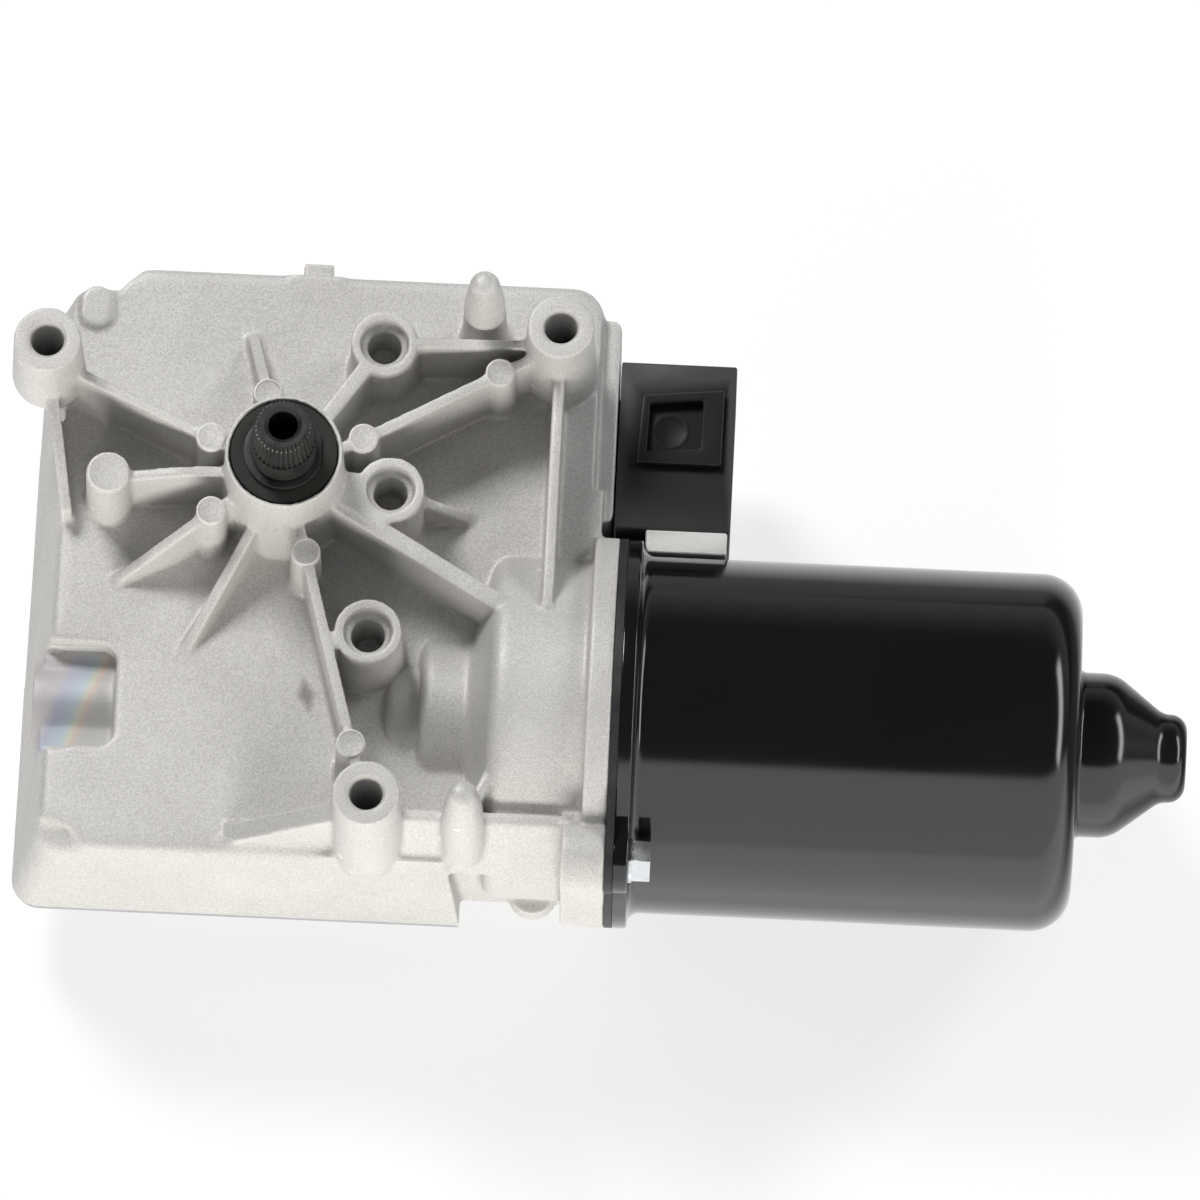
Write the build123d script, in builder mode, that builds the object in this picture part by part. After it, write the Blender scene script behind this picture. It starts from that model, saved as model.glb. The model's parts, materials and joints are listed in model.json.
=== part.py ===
from build123d import *
import os
from math import atan, cos, degrees, pi, radians, sin, tan

os.makedirs("parts", exist_ok=True)

# Wiper motor, in millimetres. The origin is on the output shaft's axis, in the plane of the
# mounting bosses' tops. +Z points out along the output shaft, and +X along the motor can.

# Overall sizes
can_radius = 35.8
can_length = 93.0
plate_back = 47.6

# Levels of the gear housing, measured from the mounting plane
mount_level = 0.0
rib_level = -11.5
plate_level = -29.5
rim_level = -62.0
plate_thickness = 3.5
wall = 3.0
wall_draft = 5.0
rim_spread = (plate_level - rim_level) * tan(radians(wall_draft))
ceiling = plate_level - plate_thickness

# Clearances shared by everything that fits, runs or seats
running_clearance = 0.05
seat_clearance = 0.02
gap = 0.3

# Worm drive: the motor's axis runs along X, below the plate
module = 1.3
tooth_count = 56
worm_pitch_radius = 5.6
tooth_addendum = 1.2
tooth_dedendum = 1.9
thread_flank = 15.0
worm_turns = 8
wheel_width = 10.0
wheel_rim = 3.0
wheel_web = 4.0
spoke_count = 6
spoke_width = 2.2
motor_z = -42.5
mesh_clearance = 1.25
wheel_surround = 4.4
wheel_pitch_radius = module * tooth_count / 2
wheel_tip_radius = wheel_pitch_radius + tooth_addendum
wheel_root_radius = wheel_pitch_radius - tooth_dedendum
wheel_space_radius = wheel_tip_radius + 1.0
wheel_top = motor_z + wheel_width / 2
wheel_bottom = motor_z - wheel_width / 2
motor_y = -(wheel_pitch_radius + worm_pitch_radius)
worm_pitch = pi * module
thread_thickness = module
gap_width = thread_thickness + mesh_clearance
motor_neck_start = wheel_space_radius + wheel_surround
worm_length = worm_turns * worm_pitch
worm_tip_radius = worm_pitch_radius + tooth_addendum
lead_angle = degrees(atan(worm_pitch / (2 * pi * worm_pitch_radius)))

# Motor can
can_wall = 1.8
can_end_round = 8.0
end_boss_radius = 16.5
can_flare = 1.0
end_boss_length = 7.2
end_cone_length = 9.8
end_tip_length = 4.9
end_tip_radius = 8.85
end_tip_round = 3.2
drain_length = 3.4
drain_width = 3.0
drain_inset = 7.0
gasket_thickness = 1.6
can_flange_thickness = 3.0
flange_brim = 3.2
flange_thickness = 5.0
flange_face = motor_neck_start + 24.6
can_end = flange_face + can_length
can_inner_radius = can_radius - can_wall
flange_radius = can_radius + flange_brim
flange_start = flange_face - flange_thickness
can_flange_start = flange_face + gasket_thickness
can_flange_end = can_flange_start + can_flange_thickness
end_boss_end = can_end + end_boss_length
end_cone_end = end_boss_end + end_cone_length
end_tip_end = end_cone_end + end_tip_length

# Flange screws that hold the can
screw_circle_radius = flange_radius + 2.4
screw_angle = 34.8
screw_radius = 2.5
screw_hole_radius = 2.8
screw_ear_radius = 6.8
screw_ear_depth = 8.8
screw_length = 13.0
hex_width = 8.0
hex_height = 4.4
hex_turn = -12.5
washer_flange_radius = 4.4
washer_flange_height = 0.8
screw_offset_y = screw_circle_radius * cos(radians(screw_angle))
screw_offset_z = screw_circle_radius * sin(radians(screw_angle))
screw_offsets = ((-screw_offset_y, screw_offset_z), (screw_offset_y, -screw_offset_z))
lower_ear_back = motor_y + screw_offset_y + screw_ear_radius

# Stepped neck over the worm, the front bearing and the brushes
bearing_outer_radius = 11.0
bearing_width = 7.0
worm_cover_radius = 14.0
worm_cover_start = motor_neck_start - 20.0
bearing_neck_radius = bearing_outer_radius + 8.0
bearing_neck_start = motor_neck_start - 14.0
neck_cone_start = motor_neck_start - 4.0
neck_cone_end = motor_neck_start + 0.6
neck_rounds = (3.0, 2.0, 2.5, 1.5, 3.5, 0.01)
motor_neck_wall = 3.0
neck_set_in = 1.8
motor_neck_radius = can_radius - neck_set_in
neck_inner_radius = motor_neck_radius - motor_neck_wall
neck_wall_end = motor_neck_start + motor_neck_wall

# Outline of the housing's top plate
left_surround = 3.0
left_draft = 10.5
left_skew = 1.2
plate_left = -(wheel_space_radius + wall + left_surround)
left_lean = tan(radians(left_draft)) - tan(radians(wall_draft))
plate_right = flange_face - 6.1
plate_front = motor_y - 33.0
front_step_x = motor_neck_start - 7.3
front_step_y = motor_y - 20.0
lobe_round = 3.5
corner_radius = 5.5
corner_cut = 5.6
corner_cut_rise = 5.0
corner_cut_start = 9.2
corner_cut_end = 14.0
chamber_end = motor_neck_start - 3.6
side_box_front = lower_ear_back + rim_spread + 1.36

# Output shaft and its bearings
shaft_radius = 6.5
shaft_plain_top = 8.0
shaft_tip = 17.0
shaft_taper = 1.4
shaft_hole_radius = 3.0
shaft_hole_depth = 20.0
shaft_tail = 5.5
serration_count = 36
serration_depth = 0.45
bush_wall = 1.5
hub_wall = 3.75
seal_lip = 0.85
seal_depth = 2.8
upper_bush_length = 11.0
lower_bush_length = 12.0
hub_clearance = 1.5
ring_width = 1.5
ring_thickness = 0.9
ring_groove_depth = 0.5
ring_groove_margin = 0.1
ring_groove_top = 1.2
hub_overhang = 0.5
shaft_tip_radius = shaft_radius - shaft_taper
insert_radius = shaft_radius + 3.0
wheel_hub_radius = insert_radius + 3.5
bush_radius = shaft_radius + bush_wall
hub_radius = bush_radius + hub_wall
hub_foot_radius = hub_radius + seal_lip
seal_radius = hub_radius - seal_lip

# Bosses, posts and pads on the plate: plan positions and radii
hub_centre = (0.0, 0.0)
mount_boss_left = (plate_left - 3.7, 21.4)
mount_boss_right = (plate_right - 7.7, 28.9)
mount_boss_front = (19.9, plate_front + 4.7)
mount_boss_radius = 6.7
left_boss_base = -21.4
left_boss_foot = -40.0
left_boss_foot_radius = 1.5
mount_hole_radius = 3.3
mount_hole_depths = (20.0, 21.0, 22.0)
mount_hole_chamfer = 0.6
bracket_boss_back = (18.6, 27.8)
bracket_boss_middle = (21.3, -2.9)
bracket_boss_front = (18.3, -32.9)
hub_web_corner = (20.5, -11.5)
bracket_boss_radius = 6.7
bracket_hole_radius = 3.4
bracket_hole_depths = (14.0, 15.0, 16.0)
bracket_recess_radius = 4.6
bracket_recess_depth = 3.0
bracket_recess_flare = 0.4
plain_post = (-35.1, -2.2)
plain_post_radius = 4.4
pad_radius = 3.0
pad_rise = 0.3
pad_draft = 0.4
pad_left_back = (-15.0, 6.2)
pad_left_front = (-14.2, -9.3)
pad_back = (-4.1, 15.9)
pad_right = (15.4, 7.4)
pad_front = (5.1, -17.1)
pad_far_right = (42.0, 22.4)
pad_far_front = (16.1, -56.7)
locating_pin_back = (38.3, plate_back - 11.9)
locating_pin_front = (39.1, plate_front + 4.0)
locating_pin_foot_radius = 4.8
locating_pin_shoulder_radius = 4.0
locating_pin_radius = 3.65
locating_pin_shoulder = -5.5
locating_pin_straight_top = -2.0
locating_pin_tip_round = 2.6
locating_pin_tip = 5.5
locating_pin_tip_radius = 2.75
rib_width = 2.2
rib_root = 1.0
post_draft = 0.5
boss_draft = 0.8

# Free ends of the ribs that slope down to the plate
gusset_left = (-33.8, -19.4)
gusset_front = (-18.9, -33.9)
gusset_back = (-8.3, 34.4)
gusset_right = (38.0, -2.6)
web_end = (44.5, -25.4)
web_level = -13.0
post_knee = (-21.0, -1.3)
post_rib_level = -14.5
side_rib_end = (plate_right - 7.9, -26.3)
side_rib_level = -12.0
wall_rib_end = (-43.4, -6.7)
wall_rib_level = -24.0
wedge_end = (-8.8, plate_front + 4.0)
wedge_level = -8.0
ledge_level = -17.0
ledge_back = plate_front + 7.25
ledge_front = plate_front + 4.6
ledge_foot = -36.0
ledge_foot_front = plate_front - 0.2
ledge_end = flange_start - 2.6
skirt_front = plate_front + 2.5
skirt_top = motor_z
brace_end = (45.8, -55.4)
brace_level = -15.0

# Small features of the casting
lug_radius = 4.8
lug_x = 53.0
lug_inset = 4.8
lug_top = rim_level + 4.5
tab_start = 1.2
tab_width = 6.0
tab_reach = 3.4
tab_thickness = 4.0
tab_top = plate_level - 3.0
tab_root = 2.0
corner_pad_length = 8.8
corner_pad_width = 6.6
corner_pad_rise = 1.0
corner_pad_inset_x = 4.8
corner_pad_inset_y = 9.0
corner_recess_radius = 7.2
corner_recess_inset_x = 0.85
corner_recess_offset_y = 2.0
corner_recess_depth = 2.4
pocket_length = 12.7
pocket_front = 11.6
pocket_back = 9.8
pocket_round = 3.5
pocket_wall = 2.0
pocket_thickness = 2.4
pocket_floor = motor_z + 7.0

# Armature, and the magnets round it
armature_shaft_radius = 4.0
core_start = flange_face + 22.4
core_end = can_end - 15.6
core_slots = 12
core_slot_width = 3.4
core_slot_depth = 9.0
bar_clearance = 0.2
bar_set_back = 1.2
bar_shortening = 2.8
winding_step = 4.5
winding_bulge = 11.0
winding_round = 3.5
commutator_radius = 12.0
commutator_start = motor_neck_start + 5.5
commutator_end = motor_neck_start + 18.0
commutator_bars = 12
commutator_gap = 0.6
commutator_wall = 2.4
air_gap = 1.06
magnet_thickness = 5.6
magnet_arc = 132.0
magnet_start = flange_face + 18.4
magnet_end = can_end - 11.6
clip_thickness = 1.2
clip_width = 22.0
clip_end_gap = 4.0
magnet_outer_radius = can_inner_radius - 2 * seat_clearance
magnet_inner_radius = magnet_outer_radius - magnet_thickness
core_radius = magnet_inner_radius - air_gap
winding_radius = core_radius - winding_step
winding_bore_radius = armature_shaft_radius + 2.0

# Front ball bearing, of the common 8 by 22 by 7 size
bearing_start = motor_neck_start - 8.5
bearing_ball_count = 8
bearing_ring_wall = 1.9
bearing_ball_bite = 0.38
bearing_ball_clearance = 0.12
retainer_thickness = 1.0
bearing_ring_gap = bearing_outer_radius - armature_shaft_radius - 2 * bearing_ring_wall
bearing_ball_radius = bearing_ring_gap / 2 + bearing_ball_bite
bearing_groove_radius = bearing_ball_radius + bearing_ball_clearance
bearing_ball_circle = (armature_shaft_radius + bearing_outer_radius) / 2

# Worm tip support and the bush at the motor's tail
tip_bush_start = plate_left + 17.1
tip_bush_length = 7.5
tip_bush_radius = armature_shaft_radius + 2.0
tip_boss_radius = tip_bush_radius + 3.0
thrust_ball_radius = 2.4
thrust_screw_radius = 4.0
thrust_screw_length = 12.0
thrust_boss_overhang = 3.9
slot_width = 1.2
slot_depth = 2.0
tail_bush_length = 7.0
tail_bush_radius = end_tip_radius - can_wall - running_clearance
tail_bush_round = 1.2

# Brush gear
brush_plate_start = commutator_end + 0.6
brush_plate_thickness = 2.4
brush_plate_hole = commutator_radius + 3.0
brush_width = 6.0
brush_length = 9.0
brush_angles = (0.0, 90.0, 180.0)
holder_wall = 0.8
holder_length = 14.0
spring_radius = 2.0
spring_wire_radius = 0.25
spring_turns = 4

# Back cover
cover_gasket_thickness = 0.8
cover_thickness = 1.6
cover_pan_depth = 3.0
cover_pan_inset = 9.0
cover_pan_slope = 2.0
cover_screw_radius = 1.9
cover_screw_length = 9.0
cover_screw_head_radius = 3.6
cover_screw_head_height = 2.4
cover_hole_clearance = 0.2
cover_boss_radius = 4.6
cover_boss_height = 12.0
cover_screw_inset = 4.0
recess_length = 3.6
recess_width = 0.9
recess_depth = 1.4
cover_level = rim_level - cover_gasket_thickness
rim_left = plate_left - (plate_level - rim_level) * left_lean
cover_screw_spots = (
    (rim_left - left_skew + cover_screw_inset, plate_front + cover_screw_inset),
    (front_step_x - cover_screw_inset, plate_front + cover_screw_inset),
    (rim_left + cover_screw_inset, plate_back - corner_cut - cover_screw_inset),
    (plate_right - cover_screw_inset, plate_back - cover_screw_inset),
    (plate_right - cover_screw_inset, side_box_front + cover_screw_inset),
    (rim_left - left_skew / 2 + cover_screw_inset, motor_y + tip_boss_radius + cover_boss_radius + 1),
)

# Electrical connector and its cast shelf
connector_start = flange_face - 1.6
connector_length = 23.2
connector_width = 35.3
connector_top = -33.0
connector_wall = 2.2
connector_socket_depth = 16.0
connector_end = connector_start + connector_length
connector_front = motor_y + flange_radius + 1.1
connector_back = connector_front + connector_width
connector_bottom = rim_level + 3.0
shelf_front = motor_y + can_radius + gap
shelf_start = can_flange_end + 1.4
shelf_foot_start = can_flange_end + hex_height + 0.8
shelf_end = connector_end - 0.5
shelf_floor_front = lower_ear_back + gap
side_strip_back = connector_back + 8.6
side_strip_round = 2.0
side_strip_end = connector_start - gap
latch_window_start = connector_start + 5.6
latch_window_length = 13.0
latch_window_width = 10.8
latch_window_inset = 9.1
latch_frame_width = 2.2
latch_frame_height = 1.8
latch_window_end = latch_window_start + latch_window_length
latch_window_back = connector_back - latch_window_inset
latch_window_front = latch_window_back - latch_window_width
terminal_width = 2.8
terminal_thickness = 0.8
terminal_rows = 2
terminal_columns = 4
terminal_pitch_y = 5.61
terminal_drop = 1.0
terminal_pitch_z = 8.0
terminal_setback = 5.5
terminal_tail = 5.0
terminal_slot_clearance = 0.05
spigot_clearance = 0.2
way_inset = 6.0
spigot_inset = way_inset + spigot_clearance

# Circuit board with the park contacts
board_thickness = 1.6
board_level = rim_level + 3.0
board_top = board_level + board_thickness
board_left = plate_left + 11.6
board_right = plate_right - 13.0
board_front = side_box_front + 2.0
board_back = plate_back - 6.6
board_tongue_right = plate_right - 3.5
board_tongue_front = side_box_front + 10.0
board_tongue_back = board_back - 9.0
board_post_radius = 2.4
board_post_inset = 4.0
relay_length = 14.0
relay_width = 11.0
relay_height = 9.0
capacitor_radius = 4.0
capacitor_height = 8.0
capacitor_spot = (board_right - 8.0, board_front + 6.0)
choke_radius = 2.6
choke_length = 12.0
choke_start = board_left + 40.0
choke_rows = (board_back - 7.0, board_back - 14.0)
park_disc_thickness = 0.6
park_disc_bore = wheel_hub_radius + 4.0
park_disc_radius = park_disc_bore + 12.0
park_gap_width = 9.0
park_gap_depth = 5.0
contact_tracks = (park_disc_bore + 2.0, park_disc_bore + 6.0, park_disc_bore + 10.0)
contact_width = 2.4
contact_thickness = 0.35
contact_foot_start = -20.0
contact_foot_end = -14.0
contact_tip_length = 1.5
board_posts = (
    (board_left + board_post_inset, board_front + board_post_inset),
    (board_left + board_post_inset, board_back - board_post_inset),
    (board_right - board_post_inset, board_front + board_post_inset),
    (board_right - board_post_inset, board_back - board_post_inset),
)

motor_axis = Axis((0, motor_y, motor_z), (1, 0, 0))


def axis_profile():
    """The half plane through the motor's axis: its x is the row's X, its y the distance out."""
    return Plane(origin=(0, motor_y, motor_z), x_dir=(1, 0, 0), z_dir=(0, -1, 0))


def motor_section(x):
    """The plane across the motor's axis at x; its own x axis is +Y and its own y axis is +Z."""
    return Plane(origin=(x, motor_y, motor_z), x_dir=(0, 1, 0), z_dir=(1, 0, 0))


def motor_disc(start, end, radius, mode=Mode.ADD):
    """A round bar along the motor's axis, from start to end."""
    with BuildSketch(motor_section(start)) as disc:
        Circle(radius)
    extrude(disc.sketch, amount=end - start, mode=mode)


def upright(centre, bottom, top, foot_radius, top_radius, mode=Mode.ADD):
    """A round post, tapering from foot_radius at bottom to top_radius at top."""
    with BuildSketch(Plane.XY.offset(bottom)) as foot:
        with Locations(centre):
            Circle(foot_radius)
    if abs(foot_radius - top_radius) < 0.001:
        extrude(foot.sketch, amount=top - bottom, mode=mode)
    else:
        with BuildSketch(Plane.XY.offset(top)) as head:
            with Locations(centre):
                Circle(top_radius)
        loft([foot.sketch.face(), head.sketch.face()], mode=mode)


def slab(low, high, mode=Mode.ADD):
    """A square-cornered block from its lowest to its highest corner."""
    with BuildSketch(Plane.XY.offset(low[2])) as base:
        with Locations(((low[0] + high[0]) / 2, (low[1] + high[1]) / 2)):
            Rectangle(high[0] - low[0], high[1] - low[1])
    extrude(base.sketch, amount=high[2] - low[2], mode=mode)


def rib(start, end, start_top=rib_level, end_top=rib_level, width=rib_width):
    """A cast rib between two plan points, whose top runs from start_top to end_top."""
    along = Vector(end[0] - start[0], end[1] - start[1], 0)
    side = Plane(origin=(start[0], start[1], 0), x_dir=along, z_dir=along.cross(Vector(0, 0, 1)))
    foot = plate_level - rib_root
    with BuildSketch(side) as profile:
        Polygon((0, foot), (along.length, foot), (along.length, end_top), (0, start_top), align=None)
    extrude(profile.sketch, amount=width / 2, both=True)


def housing_outline(inset, level):
    """The outline of the geared part of the housing, drawn inset from the plate's own edge."""
    left = plate_left + inset - (plate_level - level) * left_lean
    lobe_corner = (left, plate_back - corner_cut - inset)
    with BuildSketch(Plane.XY.offset(level)) as outline:
        with BuildLine():
            Polyline(
                (left - left_skew, plate_front + inset),
                (front_step_x - inset, plate_front + inset),
                (front_step_x - inset, front_step_y + inset),
                (chamber_end - inset, front_step_y + inset),
                (chamber_end - inset, side_box_front + inset),
                (plate_right - inset, side_box_front + inset),
                (plate_right - inset, plate_back - inset),
                (plate_left + corner_cut_end + inset / 2, plate_back - inset),
                (plate_left + corner_cut_start + inset / 2, plate_back - corner_cut_rise - inset),
                lobe_corner,
                close=True,
            )
        make_face()
        back_corner = outline.vertices().group_by(Axis.Y)[-1].sort_by(Axis.X)[-1]
        front_corner = outline.vertices().group_by(Axis.Y)[0].sort_by(Axis.X)[0]
        fillet([front_corner, back_corner], radius=corner_radius)
        fillet(outline.vertices().sort_by_distance((*lobe_corner, level))[0], radius=lobe_round)
    return outline.sketch


def rounded_slab(low, high, radius, mode=Mode.ADD):
    """A block from its lowest to its highest corner, with its upright edges rounded."""
    with BuildSketch(Plane.XY.offset(low[2])) as base:
        with Locations(((low[0] + high[0]) / 2, (low[1] + high[1]) / 2)):
            RectangleRounded(high[0] - low[0], high[1] - low[1], radius)
    extrude(base.sketch, amount=high[2] - low[2], mode=mode)


def stepped_neck():
    """The neck's outside: worm cover, bearing seat and brush chamber, with rounded steps."""
    neck_end = flange_start + 1
    with BuildSketch(axis_profile()) as neck:
        with BuildLine():
            FilletPolyline(
                (worm_cover_start, 0),
                (worm_cover_start, worm_cover_radius),
                (bearing_neck_start, worm_cover_radius),
                (bearing_neck_start, bearing_neck_radius),
                (neck_cone_start, bearing_neck_radius),
                (neck_cone_end, motor_neck_radius),
                (neck_end, motor_neck_radius),
                (neck_end, 0),
                radius=neck_rounds,
            )
            Line((neck_end, 0), (worm_cover_start, 0))
        make_face()
    revolve(neck.sketch, axis=motor_axis)


def drafted_box(inset, top, bottom, mode=Mode.ADD):
    """The housing's box, flaring out by the wall draft from top down to bottom."""
    spread = (top - bottom) * tan(radians(wall_draft))
    wide = housing_outline(inset - spread, bottom)
    narrow = housing_outline(inset, top)
    loft([wide.face(), narrow.face()], mode=mode)


# Gear housing: one aluminium casting
with BuildPart() as gear_housing:
    drafted_box(0, plate_level, rim_level)
    stepped_neck()
    motor_disc(flange_start, flange_face, flange_radius)
    with BuildSketch(motor_section(flange_face - screw_ear_depth)) as ears:
        with Locations(*screw_offsets):
            Circle(screw_ear_radius)
        for offset_y, offset_z in screw_offsets:
            with BuildLine():
                Polyline(
                    (offset_y, offset_z - screw_ear_radius),
                    (offset_y, offset_z + screw_ear_radius),
                    (0, screw_ear_radius),
                    (0, -screw_ear_radius),
                    close=True,
                )
            make_face()
    extrude(amount=screw_ear_depth)
    # Webs between the neck and the chambers, strip beside the connector, and connector's shelf
    slab((motor_neck_start - 6, motor_y + 24, ceiling), (flange_start + 1, side_box_front + 2, plate_level))
    slab((chamber_end - 1, front_step_y, ceiling), (motor_neck_start + 1, motor_y + 24, plate_level))
    slab((front_step_x - wall, ledge_back - 1, skirt_top),
         (motor_neck_start + 1, front_step_y + 1, plate_level))
    rounded_slab((plate_right - wall - side_strip_round, shelf_floor_front, rim_level),
                 (side_strip_end, side_strip_back, connector_top), side_strip_round)
    slab((plate_right, shelf_floor_front, rim_level), (shelf_end, connector_back, connector_bottom))
    slab((shelf_start, shelf_front, connector_bottom), (shelf_end, connector_front, connector_top))
    slab((shelf_foot_start, shelf_front, rim_level), (shelf_end, shelf_floor_front, connector_bottom))
    # Floor of the gear chamber, opened from below, then the chambers of the motor's neck
    drafted_box(wall, ceiling, rim_level, mode=Mode.SUBTRACT)
    stepped_neck()
    slab((plate_left - 1, motor_y - tip_boss_radius, motor_z), (tip_bush_start + tip_bush_length,
         motor_y + tip_boss_radius, ceiling + 1))
    motor_disc(plate_left - thrust_boss_overhang, tip_bush_start + tip_bush_length, tip_boss_radius)
    upright(hub_centre, wheel_top + hub_clearance, ceiling + 1, hub_radius, hub_radius)
    with BuildSketch(Plane.XY.offset(rim_level)):
        with Locations(*cover_screw_spots):
            Circle(cover_boss_radius)
    extrude(amount=cover_boss_height)
    slab((neck_cone_start - 1, motor_y - motor_neck_radius, motor_z - motor_neck_radius),
         (motor_neck_start, motor_y + motor_neck_radius, rim_level), mode=Mode.SUBTRACT)
    upright(hub_centre, wheel_bottom - 2, wheel_top + hub_clearance, wheel_space_radius, wheel_space_radius,
            mode=Mode.SUBTRACT)
    # Ribs out from the hub
    rib(hub_centre, pad_left_back)
    rib(pad_left_back, mount_boss_left)
    rib(hub_centre, post_knee)
    rib(post_knee, plain_post, end_top=post_rib_level)
    rib(hub_centre, pad_left_front)
    rib(pad_left_front, gusset_left, end_top=plate_level)
    rib(hub_centre, gusset_front, end_top=plate_level)
    rib(hub_centre, pad_back)
    rib(pad_back, gusset_back, end_top=plate_level)
    rib(hub_centre, bracket_boss_back, width=rib_width * 1.4)
    rib(hub_centre, pad_right)
    rib(pad_right, pad_far_right)
    rib(pad_far_right, mount_boss_right)
    rib(bracket_boss_back, mount_boss_right)
    rib(hub_centre, bracket_boss_middle, width=2 * rib_width)
    rib(bracket_boss_middle, gusset_right, end_top=plate_level)
    with BuildSketch(Plane.XY.offset(plate_level - rib_root)):
        Polygon(hub_centre, bracket_boss_middle, hub_web_corner, align=None)
    extrude(amount=rib_level - plate_level + rib_root)
    rib(hub_centre, web_end, end_top=web_level, width=1.6 * rib_width)
    rib(hub_centre, pad_front)
    rib(pad_front, pad_far_front)
    rib(pad_far_front, mount_boss_front)
    rib(mount_boss_right, side_rib_end, end_top=side_rib_level)
    rib(mount_boss_left, wall_rib_end, end_top=wall_rib_level)
    rib(mount_boss_front, wedge_end, start_top=wedge_level, end_top=plate_level, width=2 * rib_width)
    with BuildSketch(Plane.YZ.offset(mount_boss_front[0])):
        Polygon((ledge_back, ledge_level), (ledge_front, ledge_level), (ledge_foot_front, ledge_foot),
                (ledge_back, ledge_foot), align=None)
    extrude(amount=ledge_end - mount_boss_front[0])
    slab((front_step_x - wall, skirt_front, rim_level),
         (flange_face - screw_ear_depth, front_step_y, skirt_top))
    slab((flange_face - screw_ear_depth, motor_y - flange_radius + 0.5, motor_z - 8),
         (flange_face, motor_y - motor_neck_radius, motor_z + screw_offset_z))
    rib(locating_pin_front, brace_end, start_top=brace_level, end_top=brace_level)
    # Hub, posts and bosses
    upright(hub_centre, plate_level - rib_root, mount_level, hub_foot_radius, hub_radius)
    mount_boss_foot_radius = mount_boss_radius + boss_draft
    upright(mount_boss_left, left_boss_foot, left_boss_base, left_boss_foot_radius, mount_boss_foot_radius)
    upright(mount_boss_left, left_boss_base, mount_level, mount_boss_foot_radius, mount_boss_radius)
    upright(mount_boss_front, plate_level - 8, plate_level, mount_boss_radius, mount_boss_foot_radius)
    for boss in (mount_boss_right, mount_boss_front):
        upright(boss, plate_level - rib_root, mount_level, mount_boss_foot_radius, mount_boss_radius)
    bracket_bosses = (bracket_boss_back, bracket_boss_middle, bracket_boss_front)
    for boss in bracket_bosses:
        upright(boss, plate_level - rib_root, rib_level, bracket_boss_radius + post_draft,
                bracket_boss_radius)
    upright(plain_post, plate_level - rib_root, rib_level, plain_post_radius + post_draft,
            plain_post_radius)
    pads = (pad_left_back, pad_left_front, pad_back, pad_right, pad_front, pad_far_right, pad_far_front)
    for pad in pads:
        upright(pad, plate_level - rib_root, rib_level + pad_rise, pad_radius + pad_draft, pad_radius)
    for pin in (locating_pin_back, locating_pin_front):
        upright(pin, plate_level - rib_root, locating_pin_shoulder, locating_pin_foot_radius,
                locating_pin_shoulder_radius)
        upright(pin, locating_pin_shoulder, locating_pin_straight_top, locating_pin_radius,
                locating_pin_radius)
        upright(pin, locating_pin_straight_top, locating_pin_tip, locating_pin_radius,
                locating_pin_tip_radius)
    pin_tips = gear_housing.edges().filter_by(GeomType.CIRCLE).sort_by(Axis.Z)[-2:]
    fillet(pin_tips, radius=locating_pin_tip_round)
    # Lug below the motor's neck, tab on the back wall, and raised pad at the back left corner
    upright((lug_x, motor_y - motor_neck_radius + lug_inset), rim_level, lug_top, lug_radius, lug_radius)
    slab((tab_start, plate_back - tab_root, tab_top - tab_thickness),
         (tab_start + tab_width, plate_back + tab_reach, tab_top))
    with BuildSketch(Plane.XY.offset(plate_level - 1)):
        with Locations((plate_left + corner_pad_inset_x, plate_back - corner_pad_inset_y)):
            SlotCenterToCenter(corner_pad_length - corner_pad_width, corner_pad_width, rotation=90)
    extrude(amount=1 + corner_pad_rise)
    # Pocket over the thrust screw, corner recess, and bores
    rounded_slab((plate_left - 8, motor_y - pocket_front, pocket_floor),
                 (plate_left + pocket_length, motor_y + pocket_back, plate_level + 1), pocket_round,
                 mode=Mode.SUBTRACT)
    slab((plate_left - pocket_wall, motor_y - pocket_front - pocket_wall, pocket_floor - pocket_thickness),
         (plate_left + pocket_length + pocket_wall, motor_y + pocket_back + pocket_wall, pocket_floor))
    motor_disc(plate_left - thrust_boss_overhang, tip_bush_start, tip_boss_radius)
    upright((plate_left + corner_recess_inset_x, plate_front - corner_recess_offset_y),
            plate_level - corner_recess_depth, plate_level + 1, corner_recess_radius, corner_recess_radius,
            mode=Mode.SUBTRACT)
    upright(hub_centre, wheel_top, mount_level + 1, bush_radius, bush_radius, mode=Mode.SUBTRACT)
    upright(hub_centre, mount_level - seal_depth, mount_level + 1, seal_radius + seat_clearance,
            seal_radius + seat_clearance, mode=Mode.SUBTRACT)
    for boss, depth in zip((mount_boss_left, mount_boss_right, mount_boss_front), mount_hole_depths):
        upright(boss, mount_level - depth, mount_level + 1, mount_hole_radius, mount_hole_radius,
                mode=Mode.SUBTRACT)
        upright(boss, mount_level - mount_hole_chamfer, mount_level, mount_hole_radius,
                mount_hole_radius + mount_hole_chamfer, mode=Mode.SUBTRACT)
    for boss, depth in zip(bracket_bosses, bracket_hole_depths):
        upright(boss, rib_level - depth, rib_level + 1, bracket_hole_radius, bracket_hole_radius,
                mode=Mode.SUBTRACT)
        upright(boss, rib_level - bracket_recess_depth, rib_level + 1, bracket_recess_radius,
                bracket_recess_radius + bracket_recess_flare, mode=Mode.SUBTRACT)
    motor_disc(neck_wall_end, flange_face + 1, neck_inner_radius, mode=Mode.SUBTRACT)
    motor_disc(bearing_start, motor_neck_start + 4, bearing_outer_radius + seat_clearance,
               mode=Mode.SUBTRACT)
    motor_disc(worm_cover_start - 4, bearing_start, worm_tip_radius + 1.0,
               mode=Mode.SUBTRACT)
    motor_disc(tip_bush_start, tip_bush_start + tip_bush_length + 1, tip_bush_radius + seat_clearance,
               mode=Mode.SUBTRACT)
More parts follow.
